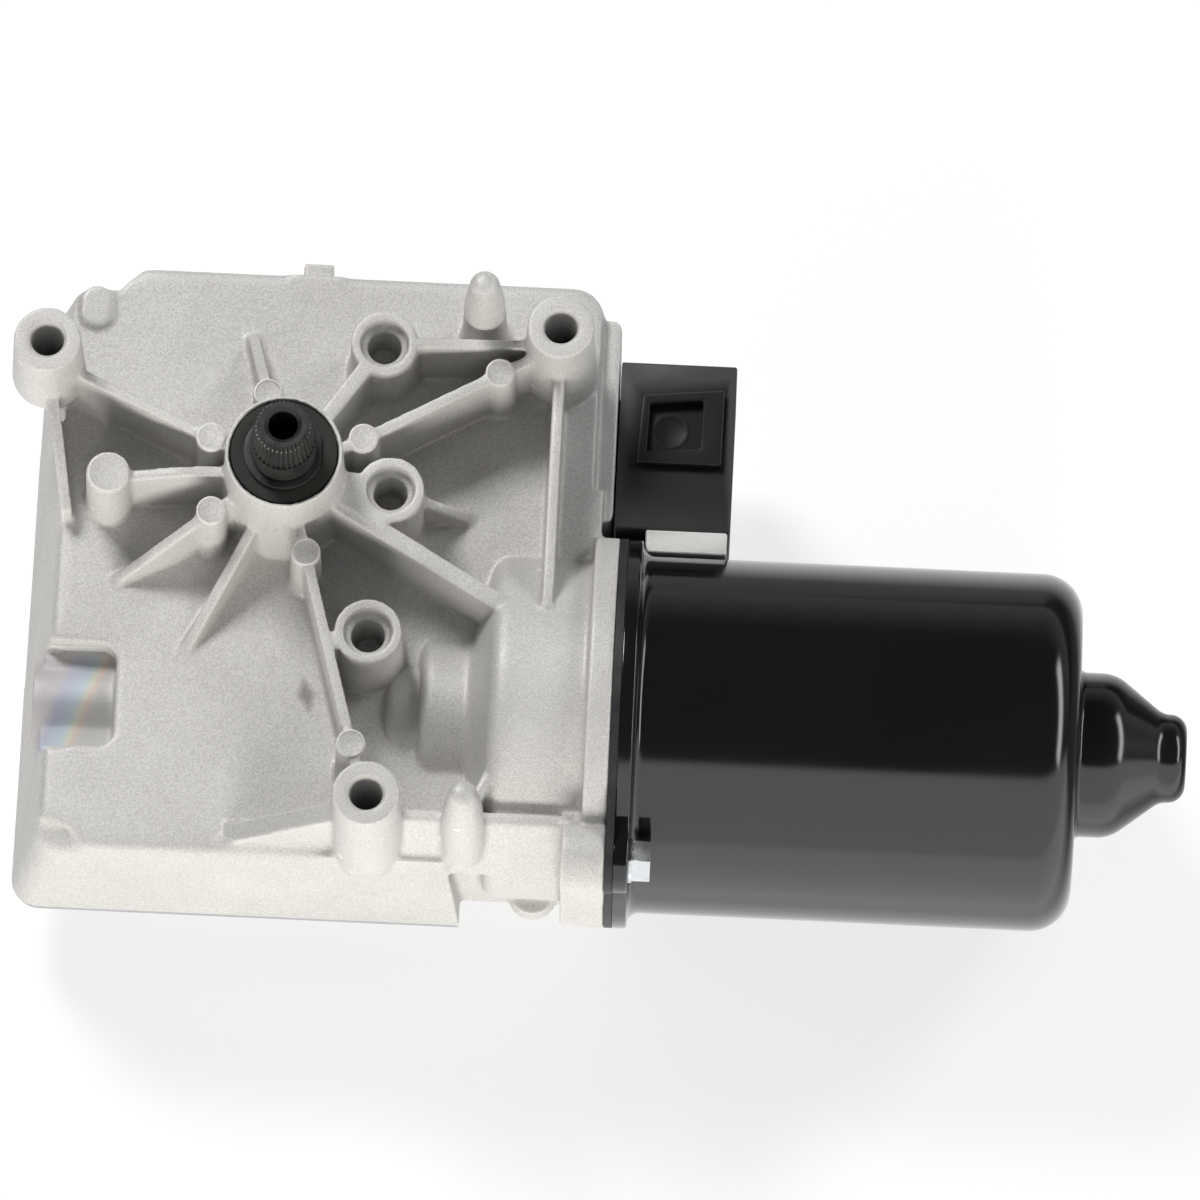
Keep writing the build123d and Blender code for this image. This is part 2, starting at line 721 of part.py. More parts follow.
    motor_disc(plate_left - 12, tip_bush_start + 1, thrust_screw_radius + seat_clearance,
               mode=Mode.SUBTRACT)
    with BuildSketch(motor_section(flange_face + 1)):
        with Locations(*screw_offsets):
            Circle(screw_radius + seat_clearance)
    extrude(amount=-screw_length, mode=Mode.SUBTRACT)
    with BuildSketch(Plane.XY.offset(rim_level - 1)):
        with Locations(*cover_screw_spots):
            Circle(cover_screw_radius + seat_clearance)
    extrude(amount=cover_screw_length + 1, mode=Mode.SUBTRACT)
    # Way for the terminals, from the chamber to the connector
    slab((plate_right - 6, connector_front + way_inset, rim_level + way_inset),
         (flange_face + 1, connector_back - way_inset, connector_top - way_inset), mode=Mode.SUBTRACT)
gear_housing.part.label = "gear_housing"
export_step(gear_housing.part, "parts/gear_housing.step")

# Output side -----------------------------------------------------------------------------

# Upper and lower bronze bushes in the hub
with BuildPart() as upper_bush:
    upper_bush_top = mount_level - seal_depth - gap
    upright(hub_centre, upper_bush_top - upper_bush_length, upper_bush_top, bush_radius - seat_clearance,
            bush_radius - seat_clearance)
    upright(hub_centre, upper_bush_top - upper_bush_length, upper_bush_top, shaft_radius + running_clearance,
            shaft_radius + running_clearance, mode=Mode.SUBTRACT)
upper_bush.part.label = "upper_bush"
export_step(upper_bush.part, "parts/upper_bush.step")

with BuildPart() as lower_bush:
    lower_bush_bottom = wheel_top + hub_clearance
    upright(hub_centre, lower_bush_bottom, lower_bush_bottom + lower_bush_length,
            bush_radius - seat_clearance, bush_radius - seat_clearance)
    upright(hub_centre, lower_bush_bottom, lower_bush_bottom + lower_bush_length,
            shaft_radius + running_clearance, shaft_radius + running_clearance, mode=Mode.SUBTRACT)
lower_bush.part.label = "lower_bush"
export_step(lower_bush.part, "parts/lower_bush.step")

# Black dust seal let into the hub's top
with BuildPart() as dust_seal:
    upright(hub_centre, mount_level - seal_depth, mount_level - gap, seal_radius, seal_radius - 0.3)
    upright(hub_centre, mount_level - seal_depth - 1, mount_level + 1, shaft_radius + 0.1, shaft_radius + 0.1,
            mode=Mode.SUBTRACT)
dust_seal.part.label = "dust_seal"
export_step(dust_seal.part, "parts/dust_seal.step")

# Output shaft with its serrated taper and threaded end hole
with BuildPart() as output_shaft:
    upright(hub_centre, wheel_bottom - shaft_tail, shaft_plain_top, shaft_radius, shaft_radius)
    chamfer(output_shaft.edges().sort_by(Axis.Z)[0], length=0.8)
    for level, radius in ((shaft_plain_top, shaft_radius), (shaft_tip, shaft_tip_radius)):
        with BuildSketch(Plane.XY.offset(level)):
            points = []
            for tooth in range(2 * serration_count):
                reach = radius - serration_depth * (tooth % 2)
                points.append(Vector(reach, 0).rotate(Axis.Z, tooth * 180 / serration_count))
            with BuildLine():
                Polyline(*points, close=True)
            make_face()
    loft(ruled=True)
    upright(hub_centre, shaft_tip - shaft_hole_depth, shaft_tip + 1, shaft_hole_radius, shaft_hole_radius,
            mode=Mode.SUBTRACT)
    upright(hub_centre, shaft_tip - 0.8, shaft_tip, shaft_hole_radius, shaft_hole_radius + 0.8,
            mode=Mode.SUBTRACT)
    with BuildSketch(Plane.XY.offset(wheel_bottom - 3.3)):
        Circle(shaft_radius + 1)
        Circle(shaft_radius - 0.8, mode=Mode.SUBTRACT)
    extrude(amount=1.2, mode=Mode.SUBTRACT)
    with BuildSketch(Plane.XY.offset(mount_level - ring_groove_margin)):
        Circle(shaft_radius + 1)
        Circle(shaft_radius - ring_groove_depth, mode=Mode.SUBTRACT)
    extrude(amount=ring_groove_top + ring_groove_margin, mode=Mode.SUBTRACT)
output_shaft.part.label = "output_shaft"
export_step(output_shaft.part, "parts/output_shaft.step")

# D-shaped retaining ring pressed on the shaft above the seal
with BuildPart() as retaining_ring:
    with BuildSketch(Plane.XY.offset(mount_level)):
        Circle(shaft_radius + ring_width)
        with Locations((shaft_radius + 1.9, 0)):
            Rectangle(2.0, 12.0, mode=Mode.SUBTRACT)
        Circle(shaft_radius - ring_groove_depth + seat_clearance, mode=Mode.SUBTRACT)
    extrude(amount=ring_thickness)
retaining_ring.part.label = "retaining_ring"
export_step(retaining_ring.part, "parts/retaining_ring.step")

# One tooth space of the worm wheel: a wedge leaning by the worm's lead angle
with BuildPart() as tooth_space:
    lean = Vector(sin(radians(lead_angle)), 0, cos(radians(lead_angle)))
    across = lean.cross(Vector(0, 1, 0))
    space_plane = Plane(origin=(0, -wheel_pitch_radius, motor_z), x_dir=across, z_dir=lean)
    inner_half = gap_width / 2 - tooth_dedendum * tan(radians(thread_flank))
    outer_half = gap_width / 2 + 2 * tooth_addendum * tan(radians(thread_flank))
    inward = space_plane.y_dir.Y
    with BuildSketch(space_plane):
        Polygon(
            (-inner_half, tooth_dedendum * inward),
            (inner_half, tooth_dedendum * inward),
            (outer_half, -2 * tooth_addendum * inward),
            (-outer_half, -2 * tooth_addendum * inward),
            align=None,
        )
    extrude(amount=wheel_width, both=True)

# Worm wheel: moulded gear with a stiff web
with BuildPart() as worm_wheel:
    upright(hub_centre, wheel_bottom, wheel_top, wheel_tip_radius, wheel_tip_radius)
    with BuildSketch(Plane.XY.offset(wheel_top)):
        Circle(wheel_root_radius - wheel_rim)
        Circle(wheel_hub_radius, mode=Mode.SUBTRACT)
        for spoke in range(spoke_count):
            with Locations(Location((0, 0, 0), spoke * 360 / spoke_count)):
                with Locations((wheel_root_radius / 2, 0)):
                    Rectangle(wheel_root_radius, spoke_width, mode=Mode.SUBTRACT)
    extrude(amount=-(wheel_width - wheel_web), mode=Mode.SUBTRACT)
    upright(hub_centre, wheel_bottom - 2, wheel_top + hub_overhang, wheel_hub_radius, wheel_hub_radius)
    upright(hub_centre, wheel_bottom - 3, wheel_top + 2, insert_radius + seat_clearance,
            insert_radius + seat_clearance, mode=Mode.SUBTRACT)
    with PolarLocations(0, tooth_count):
        add(tooth_space.part, mode=Mode.SUBTRACT)
worm_wheel.part.label = "worm_wheel"
export_step(worm_wheel.part, "parts/worm_wheel.step")

# Steel insert between the wheel and the shaft
with BuildPart() as wheel_insert:
    upright(hub_centre, wheel_bottom - 2, wheel_top + hub_overhang, insert_radius, insert_radius)
    upright(hub_centre, wheel_bottom - 3, wheel_top + 2, shaft_radius + seat_clearance,
            shaft_radius + seat_clearance, mode=Mode.SUBTRACT)
wheel_insert.part.label = "wheel_insert"
export_step(wheel_insert.part, "parts/wheel_insert.step")

# Thrust washer above the wheel and the clip below it
with BuildPart() as thrust_washer:
    upright(hub_centre, wheel_top + hub_overhang + 0.1, wheel_top + 1.2, bush_radius + 3, bush_radius + 3)
    upright(hub_centre, wheel_top, wheel_top + 2, shaft_radius + 0.1, shaft_radius + 0.1,
            mode=Mode.SUBTRACT)
thrust_washer.part.label = "thrust_washer"
export_step(thrust_washer.part, "parts/thrust_washer.step")

with BuildPart() as shaft_clip:
    with BuildSketch(Plane.XY.offset(wheel_bottom - 3.2)):
        Circle(shaft_radius + 2.5)
        Circle(shaft_radius - 0.7, mode=Mode.SUBTRACT)
        with Locations((shaft_radius, 0)):
            Rectangle(2 * shaft_radius, 7.0, mode=Mode.SUBTRACT)
    extrude(amount=1.0)
shaft_clip.part.label = "shaft_clip"
export_step(shaft_clip.part, "parts/shaft_clip.step")

# Park disc on the wheel's underside, with the gap that stops the motor
with BuildPart() as park_disc:
    with BuildSketch(Plane.XY.offset(wheel_bottom - park_disc_thickness)):
        Circle(park_disc_radius)
        Circle(park_disc_bore, mode=Mode.SUBTRACT)
        with Locations((0, -park_disc_radius)):
            Rectangle(park_gap_width, 2 * park_gap_depth, mode=Mode.SUBTRACT)
    extrude(amount=park_disc_thickness)
park_disc.part.label = "park_disc"
export_step(park_disc.part, "parts/park_disc.step")

# Armature -------------------------------------------------------------------------------

shaft_end = end_tip_end - can_wall - 1.2
shaft_start = tip_bush_start + 1.0
thread_root = worm_pitch_radius - tooth_dedendum + 0.2
# The helix starts above the axis, a quarter of a pitch on, so a thread faces the wheel's centre
worm_start = worm_pitch / 4 - worm_length / 2
with BuildPart() as armature_shaft:
    motor_disc(shaft_start, shaft_end, armature_shaft_radius)
    thread_helix = Helix(
        pitch=worm_pitch,
        height=worm_length,
        radius=worm_pitch_radius,
        center=(worm_start, motor_y, motor_z),
        direction=(1, 0, 0),
    )
    start_point = thread_helix @ 0
    outward = start_point - Vector(worm_start, motor_y, motor_z)
    root_half = thread_thickness / 2 + (worm_pitch_radius - thread_root) * tan(radians(thread_flank))
    tip_half = thread_thickness / 2 - tooth_addendum * tan(radians(thread_flank))
    with BuildSketch(Plane(origin=start_point, x_dir=(1, 0, 0), z_dir=Vector(1, 0, 0).cross(outward))):
        Polygon(
            (-root_half, thread_root - worm_pitch_radius),
            (root_half, thread_root - worm_pitch_radius),
            (tip_half, tooth_addendum),
            (-tip_half, tooth_addendum),
            align=None,
        )
    sweep(path=thread_helix, is_frenet=True)
armature_shaft.part.label = "armature_shaft"
export_step(armature_shaft.part, "parts/armature_shaft.step")

# Laminated core with its winding slots
with BuildPart() as armature_core:
    with BuildSketch(motor_section(core_start)):
        Circle(core_radius)
        Circle(armature_shaft_radius + seat_clearance, mode=Mode.SUBTRACT)
        with PolarLocations(core_radius - core_slot_depth / 2, core_slots):
            Rectangle(core_slot_depth + 1, core_slot_width, mode=Mode.SUBTRACT)
    extrude(amount=core_end - core_start)
armature_core.part.label = "armature_core"
export_step(armature_core.part, "parts/armature_core.step")

# Copper windings: bars through the slots, joined by rounded end turns
with BuildPart() as armature_windings:
    end_turns = ((core_start - winding_bulge, core_start), (core_end, core_end + winding_bulge))
    for turn_start, turn_end in end_turns:
        with BuildSketch(axis_profile()):
            with Locations(((turn_start + turn_end) / 2, (winding_bore_radius + winding_radius) / 2)):
                RectangleRounded(turn_end - turn_start, winding_radius - winding_bore_radius, winding_round)
        revolve(axis=motor_axis)
    with BuildSketch(motor_section(core_start - 3)):
        with PolarLocations(core_radius - core_slot_depth / 2 - bar_set_back, core_slots):
            Rectangle(core_slot_depth - bar_shortening, core_slot_width - 2 * bar_clearance)
    extrude(amount=core_end - core_start + 6)
armature_windings.part.label = "armature_windings"
export_step(armature_windings.part, "parts/armature_windings.step")

# Commutator: moulded core and copper bars
with BuildPart() as commutator_core:
    motor_disc(commutator_start - 0.8, commutator_end, commutator_radius - commutator_wall)
    motor_disc(commutator_start - 1, commutator_end + 1, armature_shaft_radius + seat_clearance,
               mode=Mode.SUBTRACT)
commutator_core.part.label = "commutator_core"
export_step(commutator_core.part, "parts/commutator_core.step")

with BuildPart() as commutator_segments:
    with BuildSketch(motor_section(commutator_start)):
        Circle(commutator_radius)
        Circle(commutator_radius - commutator_wall + seat_clearance, mode=Mode.SUBTRACT)
        with PolarLocations(commutator_radius - commutator_wall / 2, commutator_bars):
            Rectangle(2 * commutator_wall, commutator_gap, mode=Mode.SUBTRACT)
    extrude(amount=commutator_end - commutator_start)
commutator_segments.part.label = "commutator_segments"
export_step(commutator_segments.part, "parts/commutator_segments.step")

# Front ball bearing ---------------------------------------------------------------------

bearing_middle = bearing_start + bearing_width / 2


def bearing_ring(inner_radius, outer_radius):
    """One grooved ring of the front bearing."""
    motor_disc(bearing_start, bearing_start + bearing_width, outer_radius)
    motor_disc(bearing_start - 1, bearing_start + bearing_width + 1, inner_radius, mode=Mode.SUBTRACT)
    with BuildSketch(axis_profile()) as groove:
        with Locations((bearing_middle, bearing_ball_circle)):
            Circle(bearing_groove_radius)
    revolve(groove.sketch, axis=motor_axis, mode=Mode.SUBTRACT)


with BuildPart() as bearing_outer_ring:
    bearing_ring(bearing_outer_radius - bearing_ring_wall, bearing_outer_radius)
bearing_outer_ring.part.label = "bearing_outer_ring"
export_step(bearing_outer_ring.part, "parts/bearing_outer_ring.step")

with BuildPart() as bearing_inner_ring:
    bearing_ring(armature_shaft_radius + seat_clearance, armature_shaft_radius + bearing_ring_wall)
bearing_inner_ring.part.label = "bearing_inner_ring"
export_step(bearing_inner_ring.part, "parts/bearing_inner_ring.step")

with BuildPart() as bearing_balls:
    for ball in range(bearing_ball_count):
        angle = radians(360 * ball / bearing_ball_count)
        ball_y = motor_y + bearing_ball_circle * cos(angle)
        ball_z = motor_z + bearing_ball_circle * sin(angle)
        with Locations((bearing_middle, ball_y, ball_z)):
            Sphere(bearing_ball_radius)
bearing_balls.part.label = "bearing_balls"
export_step(bearing_balls.part, "parts/bearing_balls.step")

with BuildPart() as bearing_retainer:
    motor_disc(bearing_start + bearing_width, bearing_start + bearing_width + retainer_thickness,
               bearing_outer_radius)
    motor_disc(bearing_start, bearing_start + bearing_width + 2 * retainer_thickness,
               bearing_outer_radius - bearing_ring_wall, mode=Mode.SUBTRACT)
bearing_retainer.part.label = "bearing_retainer"
export_step(bearing_retainer.part, "parts/bearing_retainer.step")

# Worm tip: bush, steel ball and adjusting screw -------------------------------------------

with BuildPart() as worm_tip_bush:
    motor_disc(tip_bush_start, tip_bush_start + tip_bush_length, tip_bush_radius)
    motor_disc(tip_bush_start - 1, tip_bush_start + tip_bush_length + 1,
               armature_shaft_radius + running_clearance, mode=Mode.SUBTRACT)
worm_tip_bush.part.label = "worm_tip_bush"
export_step(worm_tip_bush.part, "parts/worm_tip_bush.step")

ball_centre_x = shaft_start - running_clearance - thrust_ball_radius
with BuildPart() as thrust_ball:
    with Locations((ball_centre_x, motor_y, motor_z)):
        Sphere(thrust_ball_radius)
thrust_ball.part.label = "thrust_ball"
export_step(thrust_ball.part, "parts/thrust_ball.step")

thrust_screw_end = ball_centre_x - thrust_ball_radius - running_clearance
with BuildPart() as thrust_screw:
    motor_disc(thrust_screw_end - thrust_screw_length, thrust_screw_end, thrust_screw_radius)
    chamfer(thrust_screw.edges().filter_by(GeomType.CIRCLE), length=0.5)
    slab((thrust_screw_end - thrust_screw_length - 1, motor_y - slot_width / 2, motor_z - 5),
         (thrust_screw_end - thrust_screw_length + slot_depth, motor_y + slot_width / 2, motor_z + 5),
         mode=Mode.SUBTRACT)
thrust_screw.part.label = "thrust_screw"
export_step(thrust_screw.part, "parts/thrust_screw.step")

# Motor can and what it holds ------------------------------------------------------------

def screw_ears(start, thickness, hole_radius):
    """The two screw ears of a flange, from start along the motor's axis, with their holes."""
    with BuildSketch(motor_section(start)) as ears:
        with Locations(*screw_offsets):
            Circle(screw_ear_radius)
        for offset_y, offset_z in screw_offsets:
            with BuildLine():
                Polyline(
                    (offset_y, offset_z - screw_ear_radius),
                    (offset_y, offset_z + screw_ear_radius),
                    (0, flange_radius - 3),
                    (0, screw_ear_radius - flange_radius + 3),
                    close=True,
                )
            make_face()
    extrude(ears.sketch, amount=thickness)
    with BuildSketch(motor_section(start - 1)) as holes:
        with Locations(*screw_offsets):
            Circle(hole_radius)
    extrude(holes.sketch, amount=thickness + 2, mode=Mode.SUBTRACT)


with BuildPart() as flange_gasket:
    motor_disc(flange_face, can_flange_start, flange_radius)
    screw_ears(flange_face, gasket_thickness, screw_hole_radius)
    motor_disc(flange_face - 1, can_flange_start + 1, neck_inner_radius + 1, mode=Mode.SUBTRACT)
flange_gasket.part.label = "flange_gasket"
export_step(flange_gasket.part, "parts/flange_gasket.step")

with BuildPart() as motor_can:
    motor_disc(can_flange_start, can_flange_end, flange_radius)
    screw_ears(can_flange_start, can_flange_thickness, screw_hole_radius)
    with BuildSketch(axis_profile()):
        with BuildLine():
            FilletPolyline(
                (can_flange_start, 0),
                (can_flange_start, can_radius + can_flare),
                (can_flange_end, can_radius + can_flare),
                (can_flange_end + can_flare, can_radius),
                (can_end, can_radius),
                (can_end, end_boss_radius),
                (end_boss_end, end_boss_radius),
                (end_cone_end, end_tip_radius),
                (end_tip_end, end_tip_radius),
                (end_tip_end, 0),
                radius=(0.01, 0.01, 1.2, can_end_round, 1.2, 1.6, 1.6, end_tip_round),
            )
            Line((end_tip_end, 0), (can_flange_start, 0))
        make_face()
    revolve(axis=motor_axis)
    with BuildSketch(axis_profile()):
        with BuildLine():
            Polyline(
                (can_flange_start - 1, 0),
                (can_flange_start - 1, can_inner_radius),
                (can_end - can_end_round, can_inner_radius),
                (can_end - can_wall, can_inner_radius - can_end_round + can_wall),
                (can_end - can_wall, end_boss_radius - can_wall),
                (end_boss_end - can_wall, end_boss_radius - can_wall),
                (end_cone_end - can_wall / 2, end_tip_radius - can_wall),
                (end_tip_end - can_wall, end_tip_radius - can_wall),
                (end_tip_end - can_wall, 0),
                close=True,
            )
        make_face()
    revolve(axis=motor_axis, mode=Mode.SUBTRACT)
    slab((can_end - drain_inset - drain_length, motor_y - can_radius - 1, motor_z - drain_width / 2),
         (can_end - drain_inset, motor_y - can_radius + 2 * can_wall + 0.4, motor_z + drain_width / 2),
         mode=Mode.SUBTRACT)
motor_can.part.label = "motor_can"
export_step(motor_can.part, "parts/motor_can.step")

with BuildPart() as flange_screws:
    for offset_y, offset_z in screw_offsets:
        screw_plane = Plane(origin=(can_flange_end, motor_y + offset_y, motor_z + offset_z),
                            x_dir=(0, 1, 0), z_dir=(1, 0, 0))
        with BuildSketch(screw_plane):
            Circle(screw_radius)
        extrude(amount=-screw_length)
        with BuildSketch(screw_plane):
            Circle(washer_flange_radius)
        extrude(amount=washer_flange_height)
        with BuildSketch(screw_plane):
            RegularPolygon(hex_width / 2, 6, major_radius=False, rotation=hex_turn)
        extrude(amount=hex_height)
flange_screws.part.label = "flange_screws"
export_step(flange_screws.part, "parts/flange_screws.step")

half_gap = (180 - magnet_arc) / 2


def gap_wedges(half_angle, reach):
    """Two wedges, up and down from the axis, each spanning half_angle to either side."""
    for sign in (1, -1):
        spread = reach * tan(radians(half_angle))
        Polygon((0, 0), (spread, sign * reach), (-spread, sign * reach), align=None, mode=Mode.SUBTRACT)


with BuildPart() as field_magnets:
    with BuildSketch(motor_section(magnet_start)):
        Circle(magnet_outer_radius)
        Circle(magnet_inner_radius, mode=Mode.SUBTRACT)
        gap_wedges(half_gap, 2 * can_radius)
    extrude(amount=magnet_end - magnet_start)
field_magnets.part.label = "field_magnets"
export_step(field_magnets.part, "parts/field_magnets.step")

with BuildPart() as magnet_clips:
    with BuildSketch(motor_section(magnet_start + clip_end_gap)):
        Circle(magnet_outer_radius)
        Circle(magnet_outer_radius - clip_thickness, mode=Mode.SUBTRACT)
        Rectangle(clip_width, 3 * can_radius, mode=Mode.INTERSECT)
    extrude(amount=magnet_end - magnet_start - 2 * clip_end_gap)
magnet_clips.part.label = "magnet_clips"
export_step(magnet_clips.part, "parts/magnet_clips.step")

tail_bush_end = shaft_end - 0.5
with BuildPart() as tail_bush:
    motor_disc(tail_bush_end - tail_bush_length, tail_bush_end, tail_bush_radius)
    chamfer(tail_bush.edges().filter_by(GeomType.CIRCLE), length=tail_bush_round)
    motor_disc(tail_bush_end - tail_bush_length - 1, tail_bush_end + 1,
               armature_shaft_radius + running_clearance, mode=Mode.SUBTRACT)
tail_bush.part.label = "tail_bush"
export_step(tail_bush.part, "parts/tail_bush.step")

# Brush gear -----------------------------------------------------------------------------

brush_middle = brush_plate_start - holder_wall - brush_width / 2
holder_width = brush_width + 2 * holder_wall
brush_start = commutator_radius + gap
brush_end = brush_start + brush_length
holder_start = commutator_radius + 1.5
holder_end = holder_start + holder_length


def radial_plane(angle, distance):
    """A plane facing out from the motor's axis over the brushes; its x axis runs along the motor."""
    out = Vector(0, cos(radians(angle)), sin(radians(angle)))
    centre = Vector(brush_middle, motor_y, motor_z) + out * distance
    return Plane(origin=centre, x_dir=(1, 0, 0), z_dir=out)


with BuildPart() as brush_plate:
    motor_disc(brush_plate_start, brush_plate_start + brush_plate_thickness, neck_inner_radius - 0.1)
    motor_disc(brush_plate_start - 1, brush_plate_start + brush_plate_thickness + 1, brush_plate_hole,
               mode=Mode.SUBTRACT)
brush_plate.part.label = "brush_plate"
export_step(brush_plate.part, "parts/brush_plate.step")

with BuildPart() as brush_holders:
    for angle in brush_angles:
        with BuildSketch(radial_plane(angle, holder_start)):
            Rectangle(holder_width, holder_width)
        extrude(amount=holder_length)
        with BuildSketch(radial_plane(angle, holder_start - 1)):
            Rectangle(brush_width + 0.1, brush_width + 0.1)
        extrude(amount=holder_length + 1 - holder_wall, mode=Mode.SUBTRACT)
brush_holders.part.label = "brush_holders"
export_step(brush_holders.part, "parts/brush_holders.step")

with BuildPart() as brushes:
    for angle in brush_angles:
        with BuildSketch(radial_plane(angle, brush_start)):
            Rectangle(brush_width, brush_width)
        extrude(amount=brush_length)
brushes.part.label = "brushes"
export_step(brushes.part, "parts/brushes.step")

spring_room = holder_end - holder_wall - brush_end
with BuildPart() as brush_springs:
    for angle in brush_angles:
        spring_base = radial_plane(angle, brush_end + spring_wire_radius)
        coil = Helix(
            pitch=(spring_room - 2 * spring_wire_radius) / spring_turns,
            height=spring_room - 2 * spring_wire_radius,
            radius=spring_radius,
            center=spring_base.origin,
            direction=spring_base.z_dir,
        )
        with BuildSketch(Plane(origin=coil @ 0, z_dir=coil % 0)):
            Circle(spring_wire_radius)
        sweep(path=coil, is_frenet=True)
brush_springs.part.label = "brush_springs"
export_step(brush_springs.part, "parts/brush_springs.step")

# Back cover -----------------------------------------------------------------------------

with BuildPart() as cover_gasket:
    extrude(housing_outline(-rim_spread, cover_level), amount=cover_gasket_thickness)
    inside = housing_outline(wall - rim_spread, cover_level)
    extrude(inside, amount=cover_gasket_thickness, mode=Mode.SUBTRACT)
    with BuildSketch(Plane.XY.offset(cover_level)):
        with Locations(*cover_screw_spots):
            Circle(cover_boss_radius)
    extrude(amount=cover_gasket_thickness)
    with BuildSketch(Plane.XY.offset(cover_level - 1)):
        with Locations(*cover_screw_spots):
            Circle(cover_screw_radius + cover_hole_clearance)
    extrude(amount=cover_gasket_thickness + 2, mode=Mode.SUBTRACT)
cover_gasket.part.label = "cover_gasket"
export_step(cover_gasket.part, "parts/cover_gasket.step")

with BuildPart() as back_cover:
    extrude(housing_outline(-rim_spread, cover_level), amount=-cover_thickness)
    pan_floor_inset = cover_pan_inset + cover_pan_slope
    loft([
        housing_outline(cover_pan_inset, cover_level - cover_thickness / 2).face(),
        housing_outline(pan_floor_inset, cover_level - cover_thickness - cover_pan_depth).face(),
    ])
    loft([
        housing_outline(cover_pan_inset + cover_thickness, cover_level).face(),
        housing_outline(pan_floor_inset + cover_thickness, cover_level - cover_pan_depth).face(),
    ], mode=Mode.SUBTRACT)
    with BuildSketch(Plane.XY.offset(cover_level - cover_pan_depth - cover_thickness / 2)):
        with Locations(*board_posts):
            Circle(board_post_radius)
    extrude(amount=board_level - cover_level + cover_pan_depth + cover_thickness / 2)
    with BuildSketch(Plane.XY.offset(cover_level - cover_thickness - 1)):
        with Locations(*cover_screw_spots):
            Circle(cover_screw_radius + cover_hole_clearance)
    extrude(amount=cover_thickness + 2, mode=Mode.SUBTRACT)
back_cover.part.label = "back_cover"
export_step(back_cover.part, "parts/back_cover.step")

with BuildPart() as cover_screws:
    screw_seat = cover_level - cover_thickness
    for spot in cover_screw_spots:
        upright(spot, screw_seat, rim_level + cover_screw_length, cover_screw_radius, cover_screw_radius)
        upright(spot, screw_seat - cover_screw_head_height, screw_seat, cover_screw_head_radius - 0.8,
                cover_screw_head_radius)
        for turn in (0, 90):
            with BuildSketch(Plane.XY.offset(screw_seat - cover_screw_head_height)):
                with Locations(Location((spot[0], spot[1], 0), turn)):
                    Rectangle(recess_length, recess_width)
            extrude(amount=recess_depth, mode=Mode.SUBTRACT)
cover_screws.part.label = "cover_screws"
export_step(cover_screws.part, "parts/cover_screws.step")

# Electrical connector -------------------------------------------------------------------

terminal_middle_y = (connector_front + connector_back) / 2
terminal_middle_z = (connector_top + connector_bottom) / 2
spigot_front = connector_front + spigot_inset
spigot_back = connector_back - spigot_inset
spigot_bottom = rim_level + spigot_inset
spigot_top = connector_top - spigot_inset
terminal_spots = [
    (terminal_middle_y + (column - (terminal_columns - 1) / 2) * terminal_pitch_y,
     terminal_middle_z - terminal_drop + (row - (terminal_rows - 1) / 2) * terminal_pitch_z)
    for column in range(terminal_columns)
    for row in range(terminal_rows)
]

with BuildPart() as connector_housing:
    slab((connector_start, connector_front, connector_bottom),
         (connector_end, connector_back, connector_top))
    slab((plate_right - 1, spigot_front, spigot_bottom), (connector_start + 1, spigot_back, spigot_top))
    slab((connector_end - connector_socket_depth, connector_front + connector_wall,
          connector_bottom + connector_wall), (connector_end + 1, connector_back - connector_wall,
         connector_top - connector_wall), mode=Mode.SUBTRACT)
    # Raised latch frame and its window
    slab((latch_window_start - latch_frame_width, latch_window_front - latch_frame_width, connector_top - 1),
         (latch_window_end + latch_frame_width, latch_window_back + latch_frame_width,
          connector_top + latch_frame_height))
    slab((latch_window_start, latch_window_front, connector_top - connector_wall - 1),
         (latch_window_end, latch_window_back, connector_top + latch_frame_height + 1), mode=Mode.SUBTRACT)
    with BuildSketch(Plane.YZ.offset(plate_right - 2)):
        with Locations(*terminal_spots):
            Rectangle(terminal_width + 2 * terminal_slot_clearance,
                      terminal_thickness + 2 * terminal_slot_clearance)
    extrude(amount=connector_end - plate_right, mode=Mode.SUBTRACT)
connector_housing.part.label = "connector_housing"
export_step(connector_housing.part, "parts/connector_housing.step")

with BuildPart() as connector_terminals:
    with BuildSketch(Plane.YZ.offset(plate_right - terminal_tail)):
        with Locations(*terminal_spots):
            Rectangle(terminal_width, terminal_thickness)
    extrude(amount=connector_end - plate_right + terminal_tail - terminal_setback)
connector_terminals.part.label = "connector_terminals"
export_step(connector_terminals.part, "parts/connector_terminals.step")

# Circuit board with its relay, capacitor, chokes and park contacts -------------------------

with BuildPart() as circuit_board:
    slab((board_left, board_front, board_level), (board_right, board_back, board_top))
    slab((board_right - 1, board_tongue_front, board_level),
         (board_tongue_right, board_tongue_back, board_top))
circuit_board.part.label = "circuit_board"
export_step(circuit_board.part, "parts/circuit_board.step")

with BuildPart() as relay:
    slab((board_tongue_right - relay_length - 3, board_tongue_back - relay_width - 1, board_top),
         (board_tongue_right - 3, board_tongue_back - 1, board_top + relay_height))
relay.part.label = "relay"
export_step(relay.part, "parts/relay.step")

with BuildPart() as capacitor:
    upright(capacitor_spot, board_top, board_top + capacitor_height, capacitor_radius,
            capacitor_radius)
capacitor.part.label = "capacitor"
export_step(capacitor.part, "parts/capacitor.step")

with BuildPart() as noise_chokes:
    for choke_y in choke_rows:
        with BuildSketch(Plane.YZ.offset(choke_start)):
            with Locations((choke_y, board_top + choke_radius)):
                Circle(choke_radius)
        extrude(amount=choke_length)
noise_chokes.part.label = "noise_chokes"
export_step(noise_chokes.part, "parts/noise_chokes.step")

